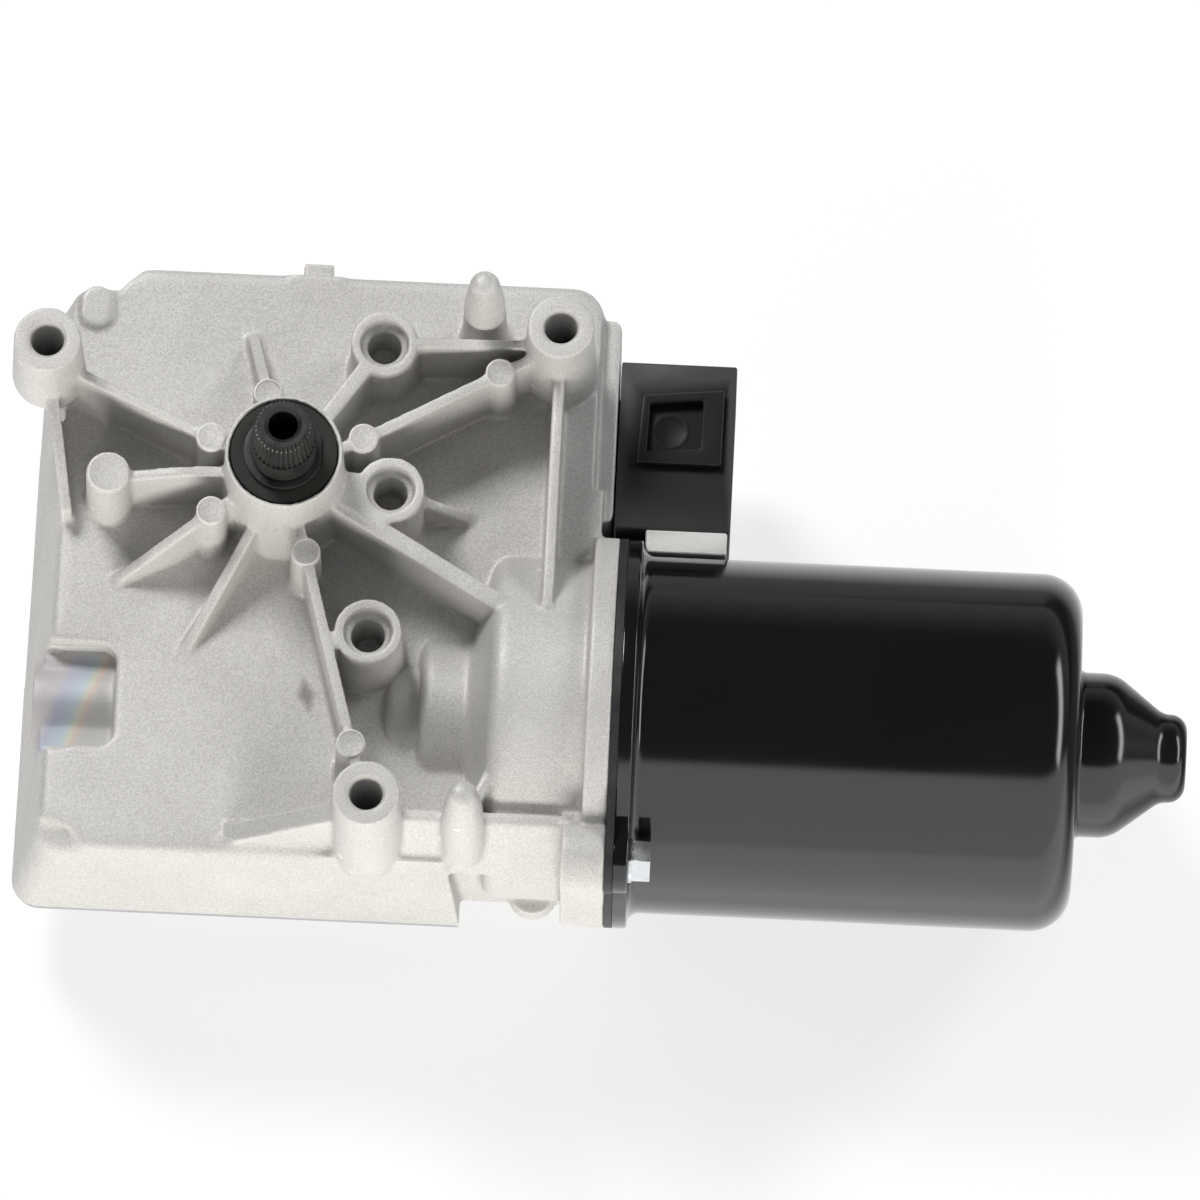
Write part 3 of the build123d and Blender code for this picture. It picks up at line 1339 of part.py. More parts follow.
contact_tip_z = wheel_bottom - park_disc_thickness - gap
with BuildPart() as park_contacts:
    for track in contact_tracks:
        with BuildSketch(Plane(origin=(0, track, 0), x_dir=(1, 0, 0), z_dir=(0, -1, 0))):
            with BuildLine():
                Polyline(
                    (contact_foot_start, board_top),
                    (contact_foot_end, board_top),
                    (0, contact_tip_z - contact_thickness),
                    (contact_tip_length, contact_tip_z - contact_thickness),
                    (contact_tip_length, contact_tip_z),
                    (-0.2, contact_tip_z),
                    (contact_foot_end - 0.2, board_top + contact_thickness),
                    (contact_foot_start, board_top + contact_thickness),
                    close=True,
                )
            make_face()
        extrude(amount=contact_width / 2, both=True)
park_contacts.part.label = "park_contacts"
export_step(park_contacts.part, "parts/park_contacts.step")
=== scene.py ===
import bpy
import json
import numpy as np
from math import radians, sin, cos, pi, sqrt
from mathutils import Matrix, Vector


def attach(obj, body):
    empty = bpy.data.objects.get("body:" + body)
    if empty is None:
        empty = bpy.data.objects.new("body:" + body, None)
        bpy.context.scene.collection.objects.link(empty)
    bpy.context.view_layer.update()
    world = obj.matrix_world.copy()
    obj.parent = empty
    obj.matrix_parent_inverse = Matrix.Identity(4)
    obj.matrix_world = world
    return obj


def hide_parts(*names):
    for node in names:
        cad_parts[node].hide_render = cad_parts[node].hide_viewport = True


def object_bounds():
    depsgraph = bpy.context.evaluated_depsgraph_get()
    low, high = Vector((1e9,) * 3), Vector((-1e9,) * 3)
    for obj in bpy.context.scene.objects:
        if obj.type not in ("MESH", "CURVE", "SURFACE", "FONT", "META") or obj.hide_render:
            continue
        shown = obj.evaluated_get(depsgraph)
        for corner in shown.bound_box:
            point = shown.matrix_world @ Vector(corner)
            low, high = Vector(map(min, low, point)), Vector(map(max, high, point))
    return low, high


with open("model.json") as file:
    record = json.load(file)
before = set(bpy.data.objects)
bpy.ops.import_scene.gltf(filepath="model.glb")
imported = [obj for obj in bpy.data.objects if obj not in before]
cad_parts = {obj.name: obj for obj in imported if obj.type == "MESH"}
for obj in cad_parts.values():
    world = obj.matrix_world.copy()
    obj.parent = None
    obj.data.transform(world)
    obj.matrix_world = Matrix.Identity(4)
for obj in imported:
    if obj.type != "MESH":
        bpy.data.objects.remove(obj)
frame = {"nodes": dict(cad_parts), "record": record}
cad_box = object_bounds()
nodes = frame["nodes"]
slots = {part["node"]: part["material_slot"] for part in frame["record"]["subparts"]}
scene = bpy.context.scene
MM = 0.001  # shapes are given in millimetres; the camera, floor and lamps in metres


# Camera, at the photograph's viewing angle
CAMERA_YAW = radians(1.95)
CAMERA_ELEVATION = radians(71.85)
CAMERA_ROLL = radians(0.77)
CAMERA_DISTANCE = 4.0
CAMERA_REACH = 20
PICTURE_PIXELS = 1200
PIXELS_PER_METRE = 4983
SENSOR = 36
AIM = Vector((0.0638, -0.0141, -0.0425))


def make_camera():
    data = bpy.data.cameras.new("camera")
    camera = bpy.data.objects.new("camera", data)
    scene.collection.objects.link(camera)
    level = Vector((cos(CAMERA_YAW), sin(CAMERA_YAW), 0))
    rise = Vector((-sin(CAMERA_YAW) * sin(CAMERA_ELEVATION), cos(CAMERA_YAW) * sin(CAMERA_ELEVATION),
                   cos(CAMERA_ELEVATION)))
    right = cos(CAMERA_ROLL) * level + sin(CAMERA_ROLL) * rise
    up = cos(CAMERA_ROLL) * rise - sin(CAMERA_ROLL) * level
    back = right.cross(up)
    place = AIM + back * CAMERA_DISTANCE
    camera.matrix_world = Matrix((
        (right.x, up.x, back.x, place.x),
        (right.y, up.y, back.y, place.y),
        (right.z, up.z, back.z, place.z),
        (0, 0, 0, 1),
    ))
    data.sensor_width = SENSOR
    data.lens = SENSOR * PIXELS_PER_METRE * CAMERA_DISTANCE / PICTURE_PIXELS
    data.clip_end = CAMERA_REACH
    scene.camera = camera
    scene.view_settings.view_transform = "Standard"


make_camera()


# Shader nodes
def new_material(name):
    material = bpy.data.materials.new(name)
    material.use_nodes = True
    tree = material.node_tree
    return material, tree, tree.nodes["Principled BSDF"]


def emptied_material(name):
    """A material whose nodes are all still to come, and its output node."""
    material = bpy.data.materials.new(name)
    material.use_nodes = True
    tree = material.node_tree
    tree.nodes.clear()
    return material, tree, tree.nodes.new("ShaderNodeOutputMaterial")


def add(tree, kind, **settings):
    """A node with its properties and its sockets' values set by name."""
    node = tree.nodes.new(kind)
    for key, value in settings.items():
        if hasattr(node, key):
            setattr(node, key, value)
        else:
            node.inputs[key.replace("_", " ")].default_value = value
    return node


def attribute(tree, name):
    return add(tree, "ShaderNodeAttribute", attribute_name=name).outputs["Fac"]


NOISE_ROUGHNESS = 0.6


def noise(tree, place, scale, detail, stretch=None):
    """Fac of a noise texture in the object's own place, with scale in features per metre."""
    if stretch:
        mapping = add(tree, "ShaderNodeMapping")
        mapping.inputs["Scale"].default_value = stretch
        tree.links.new(place, mapping.inputs["Vector"])
        place = mapping.outputs["Vector"]
    texture = add(tree, "ShaderNodeTexNoise", Scale=scale, Detail=detail, Roughness=NOISE_ROUGHNESS)
    tree.links.new(place, texture.inputs["Vector"])
    return texture.outputs["Fac"]


def ranged(tree, value, span, goal=(0, 1)):
    """The value with its span mapped onto the goal, and held at the goal's ends outside it."""
    node = add(tree, "ShaderNodeMapRange")
    for socket, number in zip(("From Min", "From Max", "To Min", "To Max"), (*span, *goal)):
        node.inputs[socket].default_value = number
    tree.links.new(value, node.inputs["Value"])
    return node.outputs["Result"]


def blended(tree, share, first, second):
    """Colour between first and second; each is a colour or a socket."""
    node = tree.nodes.new("ShaderNodeMix")
    node.data_type = "RGBA"
    colours = [socket for socket in node.inputs if socket.type == "RGBA"]
    for socket, colour in zip(colours, (first, second)):
        if isinstance(colour, tuple):
            socket.default_value = (*colour, 1)
        else:
            tree.links.new(colour, socket)
    if isinstance(share, float):
        node.inputs["Factor"].default_value = share
    else:
        tree.links.new(share, node.inputs["Factor"])
    return next(socket for socket in node.outputs if socket.type == "RGBA")


def combined(tree, operation, first, second):
    node = add(tree, "ShaderNodeMath", operation=operation)
    tree.links.new(first, node.inputs[0])
    tree.links.new(second, node.inputs[1])
    return node.outputs[0]


def either(tree, share, first, second):
    """Shader first where share is 0, and second where it is 1."""
    node = tree.nodes.new("ShaderNodeMixShader")
    tree.links.new(share, node.inputs["Fac"])
    tree.links.new(first, node.inputs[1])
    tree.links.new(second, node.inputs[2])
    return node.outputs[0]


def bumped(tree, height, distance, strength=1.0, under=None):
    node = add(tree, "ShaderNodeBump", Strength=strength, Distance=distance)
    tree.links.new(height, node.inputs["Height"])
    if under:
        tree.links.new(under, node.inputs["Normal"])
    return node.outputs["Normal"]


# General finish, used with its own values for each material but the casting
TONE_DETAIL, TONE_SPAN = 4.0, (0.3, 0.7)
GRAIN_DETAIL, GRAIN_SPAN, GRAIN_SHARE = 2.0, (0.35, 0.7), 0.35
EDGE_TINT_SPAN, EDGE_TINT_SHARE = (0.51, 0.56), 0.8


def surface(name, dark, light, metallic=0.0, rough=(0.4, 0.5), tone_scale=60, grain_scale=1500,
            grain=0.00004, stretch=None, edge_tint=None, ior=1.5):
    """A finish with drifting tone, uneven gloss and fine grain, and edges tinted paler or darker where a tint
    is given.
    """
    material, tree, shader = new_material(name)
    place = add(tree, "ShaderNodeTexCoord").outputs["Object"]
    tone = noise(tree, place, tone_scale, TONE_DETAIL, stretch)
    colour = blended(tree, ranged(tree, tone, TONE_SPAN), dark, light)
    fine = noise(tree, place, grain_scale, GRAIN_DETAIL, stretch)
    colour = blended(tree, ranged(tree, fine, GRAIN_SPAN, (0, GRAIN_SHARE)), colour, light)
    if edge_tint:
        edge = add(tree, "ShaderNodeNewGeometry").outputs["Pointiness"]
        colour = blended(tree, ranged(tree, edge, EDGE_TINT_SPAN, (0, EDGE_TINT_SHARE)), colour, edge_tint)
    tree.links.new(colour, shader.inputs["Base Color"])
    tree.links.new(ranged(tree, tone, TONE_SPAN, rough), shader.inputs["Roughness"])
    tree.links.new(bumped(tree, fine, grain), shader.inputs["Normal"])
    shader.inputs["Metallic"].default_value = metallic
    shader.inputs["IOR"].default_value = ior
    return material


FINISHES = {
    "dark_steel": dict(dark=(0.022, 0.022, 0.021), light=(0.046, 0.045, 0.043), metallic=0.45,
                       rough=(0.36, 0.50), tone_scale=300, grain_scale=1800, grain=0.00003),
    "black_seal": dict(dark=(0.014, 0.014, 0.012), light=(0.022, 0.022, 0.019), rough=(0.66, 0.80),
                       tone_scale=120, grain_scale=1600, grain=0.00003),
    "bronze": dict(dark=(0.34, 0.22, 0.11), light=(0.50, 0.35, 0.19), metallic=0.9, rough=(0.45, 0.6),
                   tone_scale=300, grain_scale=2400, grain=0.00003),
    "gear_plastic": dict(dark=(0.70, 0.66, 0.56), light=(0.76, 0.72, 0.63), rough=(0.38, 0.46),
                         tone_scale=40, grain_scale=900, grain=0.00001),
    "bright_steel": dict(dark=(0.46, 0.46, 0.46), light=(0.62, 0.62, 0.62), metallic=1, rough=(0.2, 0.32),
                         tone_scale=150, grain_scale=900, grain=0.00001, stretch=(1, 8, 8)),
    "zinc_steel": dict(dark=(0.60, 0.63, 0.66), light=(0.78, 0.80, 0.81), metallic=1, rough=(0.18, 0.28),
                       tone_scale=220, grain_scale=1400, grain=0.000002),
    "laminations": dict(dark=(0.16, 0.16, 0.165), light=(0.30, 0.30, 0.31), metallic=1, rough=(0.35, 0.5),
                        tone_scale=100, grain_scale=2000, stretch=(1, 0.02, 0.02)),
    "copper": dict(dark=(0.42, 0.16, 0.07), light=(0.60, 0.27, 0.13), metallic=1, rough=(0.25, 0.4),
                   tone_scale=200, grain=0.00003),
    "moulded_resin": dict(dark=(0.045, 0.028, 0.018), light=(0.07, 0.045, 0.03), rough=(0.4, 0.55),
                          tone_scale=90, grain_scale=1300, grain=0.00002),
    "brass": dict(dark=(0.50, 0.36, 0.13), light=(0.66, 0.50, 0.22), metallic=1, rough=(0.25, 0.38),
                  tone_scale=160, grain_scale=1200, grain=0.00001),
    "carbon": dict(dark=(0.03, 0.03, 0.032), light=(0.06, 0.055, 0.05), metallic=0.2, rough=(0.5, 0.65),
                   tone_scale=400, grain_scale=2500, grain=0.00003),
    "ferrite": dict(dark=(0.05, 0.05, 0.055), light=(0.09, 0.09, 0.095), metallic=0.1, rough=(0.5, 0.62),
                    tone_scale=200, grain_scale=1800, grain=0.00003),
    "black_paint": dict(dark=(0.0045, 0.0047, 0.005), light=(0.006, 0.0062, 0.0066), rough=(0.10, 0.15),
                        tone_scale=25, grain_scale=420, grain=0.0000025, ior=1.7),
    "black_rubber": dict(dark=(0.012, 0.012, 0.013), light=(0.026, 0.026, 0.028), rough=(0.42, 0.6),
                         tone_scale=260, grain_scale=1100, grain=0.00006),
    "pressed_steel": dict(dark=(0.42, 0.43, 0.44), light=(0.56, 0.57, 0.58), metallic=1, rough=(0.28, 0.42),
                          tone_scale=50, grain_scale=700, grain=0.00002),
    # black plastic: edges tinted paler where pointiness is high
    "black_plastic": dict(dark=(0.0045, 0.005, 0.0058), light=(0.0075, 0.008, 0.009), rough=(0.45, 0.58),
                          tone_scale=130, grain_scale=1700, grain=0.00002, edge_tint=(0.075, 0.075, 0.077),
                          ior=1.33),
    "board_green": dict(dark=(0.012, 0.075, 0.035), light=(0.02, 0.12, 0.06), rough=(0.25, 0.35),
                        tone_scale=90, grain=0.00001),
    "capacitor_sleeve": dict(dark=(0.012, 0.018, 0.045), light=(0.02, 0.03, 0.07), rough=(0.25, 0.35),
                             tone_scale=80, grain_scale=900, grain=0.00001),
}


# Cast aluminium
CLOUD = dict(scale=45, detail=5.0)
SPECK = dict(scale=2700, detail=3.0)
PITS = dict(scale=1150, detail=2.0)
CLOUD_DARK, CLOUD_LIGHT = (0.560, 0.548, 0.536), (0.640, 0.632, 0.620)
SPECK_SPAN = (0.40, 0.60)
SPECK_DARK, SPECK_DARK_SHARE = (0.20, 0.19, 0.18), 0.19
SPECK_LIGHT, SPECK_LIGHT_SHARE = (0.82, 0.81, 0.79), 0.26
PIT_COLOUR, PIT_SPAN, PIT_SHARE = (0.16, 0.155, 0.15), (0.72, 0.80), 0.45
# Painted shade: creases and hollows, where pointiness is low, are darkened towards this colour
CREASE_SHADE_COLOUR, CREASE_SHADE_SPAN, CREASE_SHADE_SHARE = (0.27, 0.25, 0.22), (0.42, 0.49), 0.6
# Painted highlight: sharp edges, where pointiness is high, are lightened towards this colour
EDGE_HIGHLIGHT_COLOUR, EDGE_HIGHLIGHT_SPAN, EDGE_HIGHLIGHT_SHARE = (0.86, 0.85, 0.82), (0.515, 0.58), 0.65
STAIN_COLOUR = (0.16, 0.15, 0.14)
CAST_ROUGHNESS = (0.62, 0.46)
CAST_METALLIC = 0.24
PIT_BUMP, PIT_BUMP_STRENGTH = 0.00008, 0.6
SPECK_BUMP, SPECK_BUMP_STRENGTH = 0.00006, 0.9
SHEEN_COLOURS = (  # place across the pocket, from 0 to 1, and the colour of the painted sheen there
    (0.02, (0.53, 0.50, 0.51)), (0.20, (0.45, 0.47, 0.58)), (0.42, (0.46, 0.55, 0.61)),
    (0.53, (0.60, 0.60, 0.49)), (0.59, (0.63, 0.50, 0.44)), (0.68, (0.52, 0.51, 0.50)),
    (0.98, (0.55, 0.545, 0.53)),
)


def painted_sheen_bands(tree):
    """Painted sheen: bands of colour across the pocket, like the iridescence of a thin film of oil."""
    ramp = tree.nodes.new("ShaderNodeValToRGB")
    stops = ramp.color_ramp.elements
    for share, shade in SHEEN_COLOURS:
        stops.new(share).color = (*shade, 1)
    stops[0].color = (*SHEEN_COLOURS[0][1], 1)
    stops[-1].color = (*SHEEN_COLOURS[-1][1], 1)
    tree.links.new(attribute(tree, "across"), ramp.inputs["Fac"])
    return ramp.outputs["Color"]


def cast_aluminium():
    """Blasted die casting: speckled grain, painted highlights on edges, painted shade in hollows, a stain and
    a painted sheen.
    """
    material, tree, shader = new_material("cast_aluminium")
    place = add(tree, "ShaderNodeTexCoord").outputs["Object"]
    cloud = noise(tree, place, **CLOUD)
    speck = noise(tree, place, **SPECK)
    pits = noise(tree, place, **PITS)
    edge = add(tree, "ShaderNodeNewGeometry").outputs["Pointiness"]
    colour = blended(tree, ranged(tree, cloud, TONE_SPAN), CLOUD_DARK, CLOUD_LIGHT)
    colour = blended(tree, ranged(tree, speck, SPECK_SPAN),
                     blended(tree, SPECK_DARK_SHARE, colour, SPECK_DARK),
                     blended(tree, SPECK_LIGHT_SHARE, colour, SPECK_LIGHT))
    colour = blended(tree, ranged(tree, pits, PIT_SPAN, (0, PIT_SHARE)), colour, PIT_COLOUR)
    # painted shade in the hollows, then painted highlights on the edges
    colour = blended(tree, ranged(tree, edge, CREASE_SHADE_SPAN, (CREASE_SHADE_SHARE, 0)), colour, CREASE_SHADE_COLOUR)
    colour = blended(tree, ranged(tree, edge, EDGE_HIGHLIGHT_SPAN, (0, EDGE_HIGHLIGHT_SHARE)), colour, EDGE_HIGHLIGHT_COLOUR)
    colour = blended(tree, attribute(tree, "stain"), colour, STAIN_COLOUR)
    # painted sheen in the pocket
    colour = blended(tree, attribute(tree, "painted_sheen"), colour, painted_sheen_bands(tree))
    tree.links.new(colour, shader.inputs["Base Color"])
    tree.links.new(ranged(tree, speck, TONE_SPAN, CAST_ROUGHNESS), shader.inputs["Roughness"])
    coarse = bumped(tree, pits, PIT_BUMP, PIT_BUMP_STRENGTH)
    tree.links.new(bumped(tree, speck, SPECK_BUMP, SPECK_BUMP_STRENGTH, coarse), shader.inputs["Normal"])
    shader.inputs["Metallic"].default_value = CAST_METALLIC
    return material


MATERIALS = {"cast_aluminium": cast_aluminium()}
for name, finish in FINISHES.items():
    MATERIALS[name] = surface(name, **finish)
for node, slot in slots.items():
    mesh = nodes[node].data
    mesh.materials.clear()
    mesh.materials.append(MATERIALS[slot])


# Carried-over CAD pieces: smooth curved faces and lightly broken edges
WELD_DISTANCE = 0.000002
BEVEL_STEPS = 3
CONNECTOR_BEVEL = 0.0005
BEVELS = {"connector_housing": CONNECTOR_BEVEL, "flange_screws": 0.00025, "retaining_ring": 0.00012,
          "dust_seal": 0.0002, "cover_screws": 0.0002}


def smooth(piece, bevel=0.0, angle=32):
    """Shade curved faces smoothly, and keep edges sharper than the angle, bevelled where a width is given."""
    for polygon in piece.data.polygons:
        polygon.use_smooth = True
    weld = piece.modifiers.new("weld", "WELD")
    weld.merge_threshold = WELD_DISTANCE
    if bevel:
        edges = piece.modifiers.new("edges", "BEVEL")
        edges.width = bevel
        edges.segments = BEVEL_STEPS
        edges.limit_method = "ANGLE"
        edges.angle_limit = radians(angle)
        edges.harden_normals = False
    split = piece.modifiers.new("split", "EDGE_SPLIT")
    split.split_angle = radians(angle)


for node, piece in nodes.items():
    smooth(piece, BEVELS.get(node, 0.0))


# Meshes
def link(mesh, name, slot, replaced=None, body="housing"):
    """A piece that shows the mesh, rides on the body, and hides the replaced node if there is one."""
    piece = bpy.data.objects.new(name, mesh)
    scene.collection.objects.link(piece)
    mesh.materials.clear()
    mesh.materials.append(MATERIALS[slot])
    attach(piece, body)
    if replaced:
        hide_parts(replaced)
    return piece


def mesh_of(name, parts):
    """One mesh of several parts, each a list of points in millimetres and a list of faces."""
    points, faces = [], []
    for more_points, more_faces in parts:
        faces += [tuple(index + len(points) for index in face) for face in more_faces]
        points += [tuple(value * MM for value in point) for point in more_points]
    mesh = bpy.data.meshes.new(name)
    mesh.from_pydata(points, [], faces)
    mesh.validate()
    mesh.update()
    return mesh


def points_of(mesh):
    points = np.empty(len(mesh.vertices) * 3)
    mesh.vertices.foreach_get("co", points)
    return points.reshape(-1, 3)


def with_points(mesh, points):
    mesh.vertices.foreach_set("co", points.ravel())
    mesh.update()
    return mesh


def relax(points, edges, rounds, strength):
    """Move each point towards the middle of its neighbours, by its own strength."""
    size = len(points)
    count = np.bincount(edges.ravel(), minlength=size)[:, None]
    for _ in range(rounds):
        middle = np.empty_like(points)
        for axis in range(3):
            middle[:, axis] = (np.bincount(edges[:, 0], points[edges[:, 1], axis], size)
                               + np.bincount(edges[:, 1], points[edges[:, 0], axis], size))
        points += strength[:, None] * (middle / count - points)


def zone(points, x=None, y=None, z=None):
    """1 inside a box, falling to 0 outside it; each side is given as low, high and the length of the fade."""
    share = np.ones(len(points))
    for values, side in zip(points.T, (x, y, z)):
        if side:
            low, high, fade = side
            share = share * np.clip(1 - np.maximum(low - values, values - high) / fade, 0, 1)
    return share


# Gear housing: the CAD shape with the rounded edges and root fillets of a casting
HOUSING_VOXEL = 0.00048
PLATE_LEVEL = -29.5
EDGE_ROUNDS, EDGE_STRENGTH = 2, 0.4
PLATE_EDGE_ROUNDS, POCKET_EDGE_ROUNDS, WIDE_STRENGTH = 36, 8, 0.5
PLATE_RIM = dict(z=(PLATE_LEVEL - 3.5, PLATE_LEVEL + 0.6, 0.8))
BACK_EDGE = dict(x=(-30, 60, 3), y=(44.4, 60, 1.5))
BACK_EDGE_TAB = dict(x=(-1, 9, 2))
LEFT_EDGE = dict(x=(-60, -41.8, 1.5), y=(-80, -9, 3))
FRONT_EDGE = dict(x=(-60, 8, 4), y=(-90, -72.2, 1.5))
POCKET_EDGE = dict(x=(-41, -30.8, 0.8), y=(-54.8, -31.0, 0.8), z=(-30.6, -28, 0.5))
# where the painted sheen lies, inside the pocket
POCKET_INSIDE = dict(x=(-60, -33, 1.5), y=(-53, -34, 1.5), z=(-39, -31.5, 1.2))
PLATE_TOP = dict(z=(PLATE_LEVEL - 0.6, -28, 0.5))
SHEEN_SHARE = 0.9
SHEEN_X, SHEEN_Y, SHEEN_SHIFT, SHEEN_WIDTH = 0.94, -0.34, 28, 13  # lines of equal colour run slantwise
STAIN_X, STAIN_Y, STAIN_SLANT = 6.3, -41.1, 0.25
STAIN_ALONG, STAIN_ACROSS, STAIN_CORE, STAIN_SHARE = 1.7, 3.6, 1.5, 0.72


def remeshed_housing():
    source = bpy.data.objects.new("housing_source", nodes["gear_housing"].data.copy())
    scene.collection.objects.link(source)
    remesh = source.modifiers.new("remesh", "REMESH")
    remesh.mode = "VOXEL"
    remesh.voxel_size = HOUSING_VOXEL
    remesh.use_smooth_shade = True
    mesh = bpy.data.meshes.new_from_object(source.evaluated_get(bpy.context.evaluated_depsgraph_get()))
    bpy.data.objects.remove(source)
    return mesh


def rounded_housing():
    mesh = remeshed_housing()
    edges = np.empty(len(mesh.edges) * 2, np.int64)
    mesh.edges.foreach_get("vertices", edges)
    edges = edges.reshape(-1, 2)
    points = points_of(mesh)
    relax(points, edges, EDGE_ROUNDS, np.full(len(points), EDGE_STRENGTH))
    at = points / MM
    back = zone(at, **BACK_EDGE) * (1 - zone(at, **BACK_EDGE_TAB))
    outline = np.maximum(np.maximum(back, zone(at, **LEFT_EDGE)), zone(at, **FRONT_EDGE))
    relax(points, edges, PLATE_EDGE_ROUNDS, WIDE_STRENGTH * zone(at, **PLATE_RIM) * outline)
    relax(points, edges, POCKET_EDGE_ROUNDS, WIDE_STRENGTH * zone(at, **POCKET_EDGE))
    x, y, _ = at.T
    along = (x - STAIN_X) + STAIN_SLANT * (y - STAIN_Y)
    across = (y - STAIN_Y) - STAIN_SLANT * (x - STAIN_X)
    stain = np.clip(STAIN_CORE - np.abs(along) / STAIN_ALONG - np.abs(across) / STAIN_ACROSS, 0, 1)
    values = {
        "stain": STAIN_SHARE * stain * zone(at, **PLATE_TOP),
        "painted_sheen": SHEEN_SHARE * zone(at, **POCKET_INSIDE),
        "across": (SHEEN_X * x + SHEEN_Y * y + SHEEN_SHIFT) / SHEEN_WIDTH,
    }
    for name, shares in values.items():
        mesh.attributes.new(name, "FLOAT", "POINT").data.foreach_set("value", shares.astype(np.float32))
    return with_points(mesh, points)


link(rounded_housing(), "cast_housing", "cast_aluminium", "gear_housing")


# Motor can, turned about the motor's axis
MOTOR_Y, MOTOR_Z = -42.0, -42.5
CAN_TURNS = 240
CAN_WALL = 1.8
FLANGE_START, FLANGE_END, FLANGE_RADIUS = 69.2, 72.2, 39.0
CAN_END, CAN_RADIUS = 160.6, 35.8
BOSS_END, BOSS_RADIUS = 167.8, 16.5
TIP_START, TIP_END, TIP_RADIUS = 177.6, 182.5, 8.85
INNER_CONE = 6.2
INNER_BOSS_END, INNER_TIP_START = 167.2, 177.2
EAR_CENTRE, EAR_RADIUS, EAR_ANGLE = 41.4, 6.8, 34.8
EAR_REACH = 0.5  # radians to either side of an ear
EAR_BLEND = 2
CAN_PROFILE = [  # along the axis, radius, rounding, whether it follows the flange's outline
    (FLANGE_START, CAN_RADIUS - CAN_WALL, 0, False),
    (FLANGE_START, FLANGE_RADIUS, 0.25, True),
    (FLANGE_END, FLANGE_RADIUS, 0.7, True),
    (FLANGE_END, CAN_RADIUS, 2.4, False),
    (CAN_END, CAN_RADIUS, 8.2, False),
    (CAN_END, BOSS_RADIUS, 1.4, False),
    (BOSS_END, BOSS_RADIUS, 8.0, False),
    (TIP_START, TIP_RADIUS, 4.2, False),
    (TIP_END, TIP_RADIUS, 3.4, False),
    (TIP_END, 0.0, 0, False),
    (TIP_END - CAN_WALL, 0.0, 0, False),
    (TIP_END - CAN_WALL, TIP_RADIUS - CAN_WALL, 0, False),
    (INNER_TIP_START, TIP_RADIUS - CAN_WALL, 0, False),
    (INNER_BOSS_END, BOSS_RADIUS - CAN_WALL, 0, False),
    (CAN_END - CAN_WALL, BOSS_RADIUS - CAN_WALL, 0, False),
    (CAN_END - CAN_WALL, CAN_RADIUS - CAN_WALL - INNER_CONE, 0, False),
    (CAN_END - CAN_WALL - INNER_CONE, CAN_RADIUS - CAN_WALL, 0, False),
]


def rounded_profile(corners, steps=10):
    """The profile's points, with an arc in place of each corner that has a rounding."""
    path = []
    for index, (along, radius, rounding, flanged) in enumerate(corners):
        here = np.array((along, radius))
        if not rounding:
            path.append((*here, flanged))
            continue
        before = np.array(corners[index - 1][:2]) - here
        after = np.array(corners[(index + 1) % len(corners)][:2]) - here
        before, after = before / np.linalg.norm(before), after / np.linalg.norm(after)
        half = np.arccos(np.clip(before @ after, -1, 1)) / 2
        middle = (before + after) / np.linalg.norm(before + after)
        centre = here + middle * rounding / sin(half)
        start = here + before * rounding / np.tan(half) - centre
        end = here + after * rounding / np.tan(half) - centre
        sweep = np.arccos(np.clip(start @ end / (rounding * rounding), -1, 1))
        for step in range(steps + 1):
            share = step / steps
            arm = (sin((1 - share) * sweep) * start + sin(share * sweep) * end) / sin(sweep)
            path.append((*(centre + arm), flanged))
    return path


def flange_reach(angle):
    """How far the flange stands out beyond its own circle at an angle round the motor's axis."""
    reach = FLANGE_RADIUS
    for ear in (180 - EAR_ANGLE, -EAR_ANGLE):
        turn = (angle - radians(ear) + pi) % (2 * pi) - pi
        aside = EAR_CENTRE * sin(turn)
        if abs(aside) < EAR_RADIUS and abs(turn) < EAR_REACH:
            reach = max(reach, EAR_CENTRE * cos(turn) + sqrt(EAR_RADIUS ** 2 - aside ** 2))
    return reach - FLANGE_RADIUS


def turned_can():
    path = rounded_profile(CAN_PROFILE)
    angles = [2 * pi * turn / CAN_TURNS for turn in range(CAN_TURNS)]
    reaches = np.array([flange_reach(angle) for angle in angles])
    for _ in range(EAR_BLEND):
        reaches = (np.roll(reaches, 1) + 2 * reaches + np.roll(reaches, -1)) / 4
    points, faces = [], []
    for along, radius, flanged in path:
        for angle, reach in zip(angles, reaches):
            out = radius + (reach if flanged else 0)
            points.append((along, MOTOR_Y + out * cos(angle), MOTOR_Z + out * sin(angle)))
    rings = len(path)
    for ring in range(rings):
        here, following = ring * CAN_TURNS, (ring + 1) % rings * CAN_TURNS
        for turn in range(CAN_TURNS):
            beside = (turn + 1) % CAN_TURNS
            faces.append((here + turn, here + beside, following + beside, following + turn))
    return points, faces


smooth(link(mesh_of("turned_can", [turned_can()]), "painted_can", "black_paint", "motor_can"), angle=50)


# Ejector-pin discs on the rib ends
RIB_DISC_RADIUS, POST_DISC_RADIUS = 2.9, 4.1
RIB_DISCS = ((-15.0, 6.2), (-14.2, -9.3), (-4.1, 15.9), (15.4, 7.4), (5.1, -17.1), (42.0, 22.4),
             (16.1, -56.7))
POST_DISC = (-35.1, -2.2)
RIB_LEVEL, POST_LEVEL = -11.2, -11.45
DISC_PROFILE = (  # change of radius, and height above the rib; the rim stands up round the pin's mark
    (0, -1.2), (0, 0.22), (-0.12, 0.38), (-0.35, 0.42), (-0.5, 0.30), (-0.7, 0.26),
)


